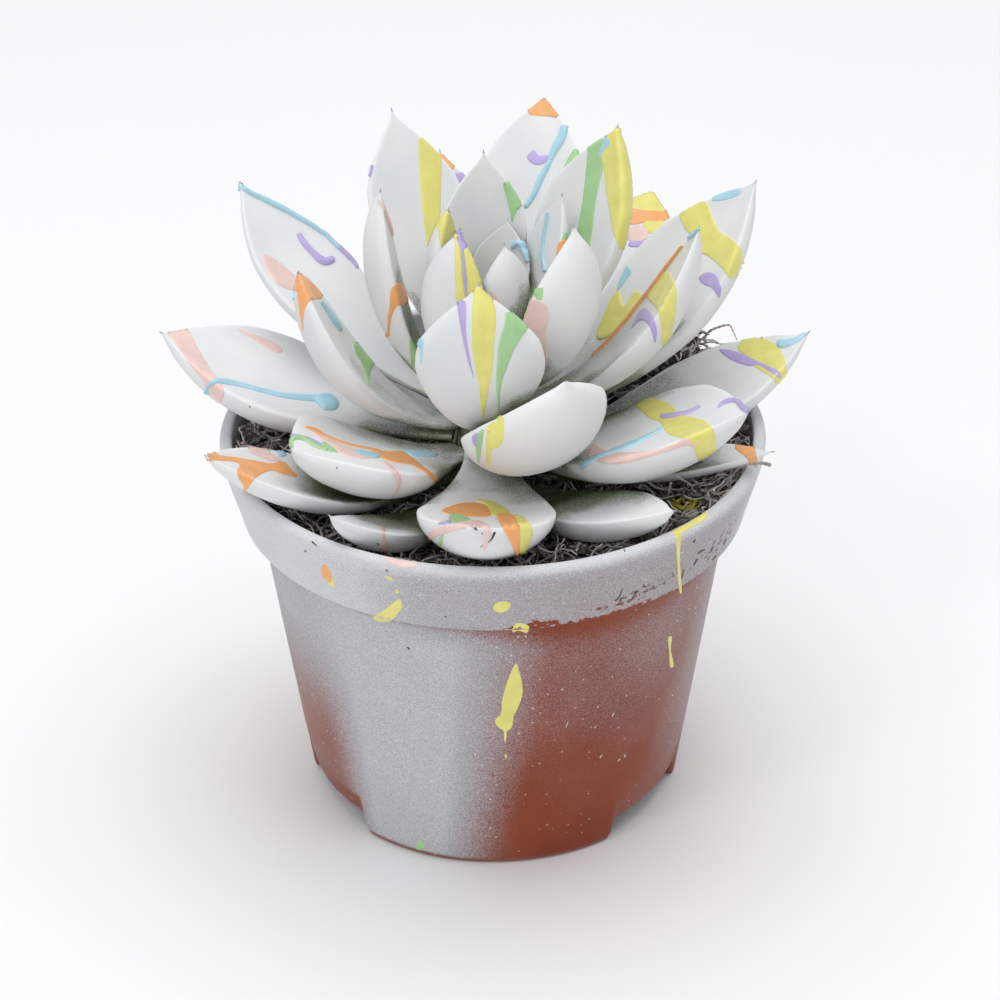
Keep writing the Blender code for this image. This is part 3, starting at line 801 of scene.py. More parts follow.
# Directions that the spray came from: all round and above, and a little from below.
SPRAY_REACH = 110 * MM
MOUTH_POINTS = 24
ROW_STEP = 3
COLUMN_STEP = 4
SPRAY_FROM = [
    Vector((math.cos(turn) * math.cos(tilt), math.sin(turn) * math.cos(tilt), math.sin(tilt)))
    for tilt, count in ((-0.3, 8), (0.15, 10), (0.6, 8), (1.05, 6), (1.5, 1))
    for turn in (math.tau * k / count for k in range(count))
]
every_point = []
every_face = []
for points, faces, _places, _across in leaf_meshes:
    first = len(every_point)
    every_point += [Vector(p) for p in points.reshape(-1, 3)]
    every_face += [[v + first for v in face] for face in faces]
first = len(every_point)
rim = [(POT_X + RIM_RADIUS * math.cos(t), POT_Y + RIM_RADIUS * math.sin(t), SOIL_TOP)
       for t in np.linspace(0, math.tau, MOUTH_POINTS, endpoint=False)]
every_point += [Vector(p) for p in rim]
every_face.append(list(range(first, first + MOUTH_POINTS)))
rosette = BVHTree.FromPolygons(every_point, every_face)


def openness(point, normal):
    """The share of the spray that reaches a place, 0 to 1."""
    start = point + normal * 0.5 * MM
    reached = 0
    total = 0.35
    for way in SPRAY_FROM:
        facing = normal.dot(way)
        if facing > 0:
            total += facing
            if rosette.ray_cast(start, way, SPRAY_REACH)[0] is None:
                reached += facing
    return reached / total


def leaf_spray(obj, rows, columns):
    """Openness on some rows and columns of the leaf, read between them for the rest."""
    normals = normals_of(obj)
    places = vertices_of(obj)
    some_rows = sorted({*range(0, rows, ROW_STEP), rows - 1})
    some_columns = list(range(0, columns, COLUMN_STEP))
    found = np.array([
        [openness(Vector(places[r * columns + c]), Vector(normals[r * columns + c]))
         for c in some_columns] for r in some_rows])
    wide = np.hstack([found, found[:, :1]])
    by_column = np.array([
        np.interp(np.arange(columns), some_columns + [columns], row) for row in wide])
    return np.array([
        np.interp(np.arange(rows), some_rows, by_column[:, c]) for c in range(columns)]).T


SKIN_DARK = (0.050, 0.075, 0.018)
SKIN_GREEN = (0.165, 0.225, 0.060)
LEAF_WHITE = (0.74, 0.755, 0.775)
LEAF_WARM = (0.80, 0.80, 0.79)
# A lighter white for the leaf margins: partly their paler thin edge, partly a painted highlight
# where they catch the light.
MARGIN_PALE_AND_LIT = (0.88, 0.885, 0.89)
TIP_GREY = (0.40, 0.385, 0.38)
SPECK = (0.12, 0.11, 0.11)
skin, tree, shader, place = new_material("leaf_skin", 0.62, 0.22)
mottle = node(tree, "ShaderNodeTexNoise", {"Vector": place, "Scale": 160.0, "Detail": 4.0})
green = mixed(tree, ramp(tree, mottle.outputs["Fac"], 0.35, 0.65), SKIN_DARK, SKIN_GREEN)
sprayed = node(tree, "ShaderNodeGroup", {
    "Place": place, "Amount": value_of(tree, "spray"), "Drops": 3300.0}, node_tree=spray_paint)
tint = node(tree, "ShaderNodeTexNoise", {"Vector": place, "Scale": 55.0, "Detail": 3.0})
white = mixed(tree, ramp(tree, tint.outputs["Fac"], 0.38, 0.62), LEAF_WHITE, LEAF_WARM)
# Toward the margins the white lightens: partly the leaf's paler thin edge, partly a painted
# highlight.
white = mixed(tree, maths(tree, "MULTIPLY", value_of(tree, "margin"), 0.5), white, MARGIN_PALE_AND_LIT)
colour = mixed(tree, sprayed.outputs["Cover"], green, white)
specks = node(tree, "ShaderNodeTexVoronoi", {"Vector": place, "Scale": 150.0})
rare = node(tree, "ShaderNodeSeparateColor", {"Color": specks.outputs["Color"]})
speck = maths(tree, "LESS_THAN", specks.outputs["Distance"],
              ramp(tree, rare.outputs["Green"], 0.86, 1.0, 0.0, 0.045))
colour = mixed(tree, maths(tree, "MULTIPLY", speck, 0.7), colour, SPECK)
colour = mixed(tree, value_of(tree, "tip"), colour, TIP_GREY)
tree.links.new(colour, shader.inputs["Base Color"])
tree.links.new(ramp(tree, tint.outputs["Fac"], 0.3, 0.7, 0.58, 0.70), shader.inputs["Roughness"])
orange_peel = node(tree, "ShaderNodeTexNoise", {"Vector": place, "Scale": 800.0, "Detail": 2.0})
height = maths(tree, "MULTIPLY_ADD", sprayed.outputs["Relief"], 0.5, orange_peel.outputs["Fac"])
relief(tree, shader, height, 0.12, 0.0001)

leaf_trees = {}
leaf_normals = {}
for number, (points, faces, places, across) in enumerate(leaf_meshes, 1):
    obj = mesh_object(f"leaf_blade_{number:02d}", points.reshape(-1, 3), faces, 60)
    tidy_normals(obj)
    rows, columns = points.shape[:2]
    add_values(obj, "spray", np.clip(leaf_spray(obj, rows, columns).ravel() * 3.3, 0, 1.3) ** 1.4)
    # How near each place is to the margin, for its lighter white: the paler thin edge and a
    # painted highlight.
    thin = smooth(np.abs(across), 0.86, 1.0)[None] * smooth(places, 0.3, 0.6)[:, None]
    add_values(obj, "margin", thin.ravel())
    pointed = smooth(places, 0.99, 1.04)[:, None] * np.ones(columns)[None]
    add_values(obj, "tip", pointed.ravel())
    obj.data.materials.append(skin)
    leaf_trees[number] = BVHTree.FromPolygons([Vector(p) for p in points.reshape(-1, 3)], faces)
    leaf_normals[number] = normals_of(obj).reshape(points.shape)
    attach(obj, "root")
    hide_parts(f"leaf_{number:02d}")

# Soil and strands that a leaf covers lie under it.
for loose in (soil, crumbs, strands, threads):
    places = vertices_of(loose)
    for v in np.flatnonzero(places[:, 2] > SOIL_TOP + 0.5 * MM):
        start = Vector(places[v])
        _place, normal, _index, _far = rosette.ray_cast(start, Vector((0, 0, 1)), 40 * MM)
        if normal is not None and normal.z > 0:
            below = rosette.ray_cast(start, Vector((0, 0, -1)), 40 * MM)[0]
            places[v, 2] = max(below.z - 0.4 * MM if below else start.z, SOIL_TOP - 2 * MM)
    loose.data.vertices.foreach_set("co", places.ravel())
    loose.data.update()

# The camera. It stands in front of the plant and looks down on it through a long lens. Its
# tilt, roll and distance follow from the ellipses of the pot's rim and foot.
CAMERA_TILT = math.radians(30.957)
ROLL = math.radians(-0.488)
DISTANCE = 683.4 * MM
AIM = Vector((POT_X, POT_Y, 69.12 * MM))
SENSOR = 36
LENS = 110.19
LENS_SHIFT = 0.0066
back = Vector((0, -math.cos(CAMERA_TILT), math.sin(CAMERA_TILT)))
level_up = Vector((0, math.sin(CAMERA_TILT), math.cos(CAMERA_TILT)))
right = Vector((math.cos(ROLL), 0, 0)) + math.sin(ROLL) * level_up
upward = Vector((-math.sin(ROLL), 0, 0)) + math.cos(ROLL) * level_up
EYE = AIM + back * DISTANCE
camera_data = bpy.data.cameras.new("camera")
camera_data.sensor_width = SENSOR
camera_data.lens = LENS
camera_data.shift_x = LENS_SHIFT
camera_data.clip_start = 0.01
camera = bpy.data.objects.new("camera", camera_data)
camera.matrix_world = Matrix.Translation(EYE) @ Matrix(
    (right, upward, back)).transposed().to_4x4()
bpy.context.scene.collection.objects.link(camera)
bpy.context.scene.camera = camera

# The splashes. Thick pastel craft paint, dripped over the dry white leaves and the pot, each
# drop a raised film with a round edge, and a few flecks of soil and of white. Their outlines are
# laid as the camera sees them, in thousandths of the picture, and pressed on what they lie on.
PICTURE_CENTRE = (493.4, 500)
PICTURE_FOCUS = 3060.8
POT = 0

# A film that comes this near the edge of its leaf runs this far over it in the picture, and no
# further than this round the edge on the leaf.
NEAR_EDGE = 3.2
OVER_EDGE = 1.6
OVER_REACH = 2.6 * MM

# Spacing of the points along an outline and along a run, and of those that fill a film, in
# thousandths of the picture.
OUTLINE_SPACING = 1.2
RUN_SPACING = 1.1
EDGE_RINGS = (0.35, 0.9, 1.7)
FILL_DEPTH = 2.6
FILL_ACROSS = 2.2
FILL_DOWN = 1.9

# A film reaches SUNK into what it lies on. Its edge, up to EDGE_TOUCH from the outline, lies
# EDGE_SUNK deep. Elsewhere its top clears the surface by LEAST_FILM at the least.
SUNK = 0.16 * MM
EDGE_SUNK = 0.05 * MM
EDGE_TOUCH = 0.02
LEAST_FILM = 0.07 * MM
SMOOTHING_ROUNDS = 12


def way_through(x, y):
    """The direction from the camera through a point of the picture."""
    across = (x - PICTURE_CENTRE[0]) / PICTURE_FOCUS
    down = (y - PICTURE_CENTRE[1]) / PICTURE_FOCUS
    return (right * across - upward * down - back).normalized()


def picture_place(point):
    """Where a place in the scene is seen in the picture."""
    offset = point - EYE
    depth = -offset.dot(back)
    return (PICTURE_CENTRE[0] + PICTURE_FOCUS * offset.dot(right) / depth,
            PICTURE_CENTRE[1] - PICTURE_FOCUS * offset.dot(upward) / depth)


def hit_at(tree, x, y):
    """The place and normal under a point of the picture. A way that slips between two faces
    is tried again right beside."""
    for aside, below in ((0, 0), (0.06, 0.04), (-0.05, 0.07)):
        place, normal, _index, _far = tree.ray_cast(EYE, way_through(x + aside, y + below))
        if place is not None:
            return place, normal
    return None


def far_hit(tree, way):
    """Where the way through the picture leaves the leaf, on its far side."""
    found = None
    start = EYE
    for _ in range(6):
        place, normal, _index, _far = tree.ray_cast(start, way)
        if place is None:
            break
        found = (place, normal)
        start = place + way * 0.02 * MM
    return found


TURNS = [np.array((math.cos(t), math.sin(t)))
         for t in np.linspace(0, math.tau, 16, endpoint=False)]


def hidden(tree, place):
    """True where the leaf itself stands before one of its own places."""
    way = place - EYE
    hit = tree.ray_cast(EYE, way.normalized(), way.length - 0.5 * MM)[0]
    return hit is not None


def outer_edge(points, normals, tree):
    """Where the outline of a leaf runs in the picture and the way out of it at each place, and
    every place of its margin, in the picture and on the leaf, with its normal."""
    facing = (normals * (np.array(EYE) - points)).sum(-1)
    found = []
    for axis in (0, 1):
        turned = facing * np.roll(facing, -1, axis) < 0
        if axis == 0:
            turned[-1] = False
        share = facing / (facing - np.roll(facing, -1, axis) + 1e-12)
        at = points + (np.roll(points, -1, axis) - points) * share[..., None]
        aimed = normals + (np.roll(normals, -1, axis) - normals) * share[..., None]
        found += [(Vector(p), Vector(n).normalized()) for p, n in zip(at[turned], aimed[turned])]
    found = [(place, normal) for place, normal in found if not hidden(tree, place)]
    places = []
    outward = []
    margin = np.array([picture_place(place) for place, _normal in found])
    for place in margin:
        out = sum((turn for turn in TURNS if not hit_at(tree, *(place + turn * 1.6))), np.zeros(2))
        far = np.linalg.norm(out)
        if far > 1:
            places.append(place)
            outward.append(out / far)
    return np.array(places), np.array(outward), margin, found


leaf_edges = {
    number: outer_edge(leaf[0], leaf_normals[number], leaf_trees[number])
    for number, leaf in enumerate(leaf_meshes, 1)}


def past_edge(number, point):
    """How far a point of the picture lies past the outline of a leaf, and the way out there."""
    places, outward, _margin, _found = leaf_edges[number]
    k = np.argmin(((places - point) ** 2).sum(1))
    return (point - places[k]).dot(outward[k]), outward[k], places[k]


def pot_place(point):
    """A point of the picture on the lip or the outside of the pot, with its place and normal
    there. A point over the soil is moved down to the lip."""
    found = None
    for below in np.arange(0, 18, 0.3):
        found = hit_at(leaf_trees[POT], point[0], point[1] + below) or found
        if found:
            outward = Vector((found[0].x - POT_X, found[0].y - POT_Y, 0)).normalized()
            if found[1].dot(outward) > -0.35 and found[0].z > 1 * MM:
                return np.array((point[0], point[1] + below)), found
    return np.array(point), found


def on_surface(number, point):
    """The place and normal under a point of the picture. Past the edge it goes on round it."""
    tree = leaf_trees[number]
    if number == POT:
        return pot_place(point)[1]
    _places, _outward, margin, on_margin = leaf_edges[number]
    far = ((margin - point) ** 2).sum(1)
    if far.min() < 1e-4:
        return on_margin[int(far.argmin())]
    found = hit_at(tree, *point)
    if found:
        return found
    past, outward, edge = past_edge(number, point)
    found = far_hit(tree, way_through(*(point - 2 * max(past, 0.2) * outward)))
    rim = (hit_at(tree, *(edge - 0.7 * outward)) or found or (AIM, 0))[0]
    over = found[0] - rim if found else Vector()
    if over.length > OVER_REACH:
        over *= OVER_REACH / over.length
    near, normal, _index, _far = tree.find_nearest(rim + over)
    return near, normal


def to_leaf(number, points, inset):
    """Points of the picture that miss the leaf, moved onto its edge and a little further in."""
    moved = []
    for point in np.array(points, float):
        if number != POT and not hit_at(leaf_trees[number], *point):
            for _ in range(3):
                past, outward, _edge = past_edge(number, point)
                point = point - (past + inset) * outward
        moved.append(point)
    return np.array(moved)


def thinned(outline):
    """The outline without points that lie almost on the one before."""
    kept = [outline[0]]
    for point in outline[1:]:
        if np.linalg.norm(point - kept[-1]) > 0.45 and np.linalg.norm(point - outline[0]) > 0.3:
            kept.append(point)
    return np.array(kept)


def round_the_edge(number, outline):
    """An outline that comes near the edge of its leaf runs a little over it instead."""
    moved = []
    for point in outline:
        past, outward, edge = past_edge(number, point)
        if np.linalg.norm(point - edge) < NEAR_EDGE or not hit_at(leaf_trees[number], *point):
            for _ in range(3):
                point = point + (OVER_EDGE - past) * outward
                past, outward, edge = past_edge(number, point)
        moved.append(point)
    return thinned(moved)


def lift_clear(tree, points, faces, inner):
    """Raises the film where the middle of an edge comes too near what lies under it."""
    pairs = {tuple(sorted((f[i], f[(i + 1) % len(f)]))) for f in faces for i in range(len(f))}
    pairs = [pair for pair in pairs if inner[pair[0]] and inner[pair[1]]]
    for _ in range(4):
        rise = {}
        for a, b in pairs:
            middle = (points[a] + points[b]) / 2
            near, normal, _index, _far = tree.find_nearest(middle)
            short = LEAST_FILM - (middle - near).dot(normal)
            if 0 < short < 0.8 * MM:
                for v in (a, b):
                    if v not in rise or rise[v].length < short:
                        rise[v] = normal * short
        for v, step in rise.items():
            points[v] = points[v] + step


def between(a, b, c, d, t):
    """The place t of the way from b to c, on the smooth curve through all four."""
    return 0.5 * (2 * b + (c - a) * t + (2 * a - 5 * b + 4 * c - d) * t**2
                  + (3 * b - a - 3 * c + d) * t**3)


def rounded(points, closed, spacing):
    """A smooth curve through the typed points, at an even spacing."""
    points = np.array(points, float)
    count = len(points)
    found = []
    for i in range(count if closed else count - 1):
        four = np.arange(i - 1, i + 3)
        four = four % count if closed else np.clip(four, 0, count - 1)
        found += [between(*points[four], t) for t in np.arange(8) / 8]
    found.append(points[0] if closed else points[-1])
    found = np.array(found)
    run = np.concatenate([[0], np.cumsum(np.linalg.norm(np.diff(found, axis=0), axis=1))])
    steps = max(6, int(run[-1] / spacing))
    at = np.linspace(0, run[-1], steps + 1)
    even = np.stack([np.interp(at, run, found[:, k]) for k in (0, 1)], 1)
    return even[:-1] if closed else even


def stroke_outline(points, widths):
    """The outline of a drawn line whose width changes evenly between the given ones."""
    line_points = rounded(points, False, RUN_SPACING)
    ahead = np.gradient(line_points, axis=0)
    ahead /= np.maximum(np.linalg.norm(ahead, axis=1), 1e-6)[:, None]
    side = np.stack([-ahead[:, 1], ahead[:, 0]], 1)
    at = np.linspace(0, 1, len(line_points))
    half = np.interp(at, np.linspace(0, 1, len(widths)), widths) / 2
    half = np.maximum(half, 0.4)
    left = line_points + side * half[:, None]
    other = line_points - side * half[:, None]

    def round_end(k, reach):
        return [line_points[k] + reach * (ahead[k] * math.cos(t) - side[k] * math.sin(t))
                for t in np.linspace(-math.pi / 2, math.pi / 2, 7)[1:-1]]

    return np.vstack([left, round_end(-1, half[-1]), other[::-1], round_end(0, -half[0])])


def depth_inside(points, outline):
    """How far each point is from the outline, negative outside it."""
    points = np.asarray(points, float)
    a = outline
    b = np.roll(outline, -1, 0)
    span = b - a
    offset = points[:, None] - a[None]
    length = np.maximum((span**2).sum(1), 1e-12)
    t = np.clip((offset * span[None]).sum(2) / length[None], 0, 1)
    far = np.linalg.norm(offset - t[..., None] * span[None], axis=2).min(1)
    above = (a[None, :, 1] > points[:, None, 1]) != (b[None, :, 1] > points[:, None, 1])
    rise = np.where(np.abs(span[:, 1]) < 1e-12, 1e-12, span[:, 1])
    crossing = a[None, :, 0] + (points[:, None, 1] - a[None, :, 1]) / rise[None] * span[None, :, 0]
    inside = (above & (points[:, None, 0] < crossing)).sum(1) % 2 == 1
    return np.where(inside, far, -far)


def even_out(number, flat, faces, border, places):
    """Past the edge of its leaf, where the view runs along the leaf, a film is evened out."""
    tree = leaf_trees[number]
    beside = {}
    for face in faces:
        for i, v in enumerate(face):
            beside.setdefault(v, set()).update((face[i - 1], face[(i + 1) % len(face)]))
    rim = {}
    for a, b in border:
        rim.setdefault(a, set()).add(b)
        rim.setdefault(b, set()).add(a)
    beside.update(rim)
    past = [v for v in beside if not hit_at(tree, *flat[v])]
    for _ in range(SMOOTHING_ROUNDS):
        for v in past:
            middle = sum((places[w][0] for w in beside[v]), Vector()) / len(beside[v])
            near, normal, _index, _far = tree.find_nearest(places[v][0].lerp(middle, 0.5))
            places[v] = (near, normal)


def paint_film(number, outline, lift, edge):
    """A closed raised film over the outline: points, faces and how thick it is at each."""
    area = 0.5 * np.sum(outline[:, 0] * np.roll(outline[:, 1], -1)
                        - np.roll(outline[:, 0], -1) * outline[:, 1])
    ahead = np.roll(outline, -1, 0) - np.roll(outline, 1, 0)
    ahead /= np.maximum(np.linalg.norm(ahead, axis=1), 1e-6)[:, None]
    inward = np.stack([-ahead[:, 1], ahead[:, 0]], 1) * (1 if area > 0 else -1)
    inner = []
    for depth in EDGE_RINGS:
        ring = outline + inward * depth
        inner.append(ring[depth_inside(ring, outline) > depth * 0.85][:: 1 if depth < 1 else 2])
    low = outline.min(0)
    high = outline.max(0)
    rows = np.arange(low[1], high[1], FILL_DOWN)
    grid = np.array([(x + (i % 2) * FILL_ACROSS / 2, y) for i, y in enumerate(rows)
                     for x in np.arange(low[0], high[0], FILL_ACROSS)]).reshape(-1, 2)
    if len(grid):
        inner.append(grid[depth_inside(grid, outline) > FILL_DEPTH])
    if number != POT:
        margin = leaf_edges[number][2]
        margin = margin[depth_inside(margin, outline) > 0.7]
        apart = [all(np.linalg.norm(p - q) > 0.9 for q in margin[:i])
                 for i, p in enumerate(margin)]
        margin = margin[apart] if len(margin) else margin
        if len(margin):
            inner = [ring[np.sqrt(((ring[:, None] - margin[None]) ** 2).sum(2)).min(1) > 1.3]
                     for ring in inner if len(ring)]
            inner.append(margin)
    flat = np.vstack([outline, *inner])
    loop = [(i, (i + 1) % len(outline)) for i in range(len(outline))]
    found = delaunay_2d_cdt([Vector(p) for p in flat], loop, [], 1, 1e-4)
    flat = np.array([tuple(p) for p in found[0]])
    faces = [tuple(f) for f in found[2]]
    deep = np.maximum(depth_inside(flat, outline), 0)
    rise = np.clip(deep / edge, 0, 1)
    height = lift * np.sqrt(np.clip(1 - (1 - rise) ** 2, 0, 1)) * MM
    height = np.where(deep < EDGE_TOUCH, -EDGE_SUNK, height)
    edges = {}
    for face in faces:
        for i, v in enumerate(face):
            pair = (v, face[(i + 1) % len(face)])
            edges[pair] = edges.get(pair, 0) + 1
    border = [pair for pair in edges if pair[::-1] not in edges]
    places = [on_surface(number, point) for point in flat]
    if number != POT:
        even_out(number, flat, faces, border, places)
    top = []
    under = []
    for (place, normal), up_by in zip(places, height):
        uneven = 1 + 0.16 * noise.noise(place * 500)
        top.append(place + normal * up_by * uneven)
        under.append(place - normal * SUNK)
    lift_clear(leaf_trees[number], top, faces, deep >= EDGE_TOUCH)
    count = len(top)
    closed = list(faces)
    closed += [tuple(v + count for v in reversed(face)) for face in faces]
    closed += [(b, a, a + count, b + count) for a, b in border]
    return top + under, closed, list(rise) + list(rise)


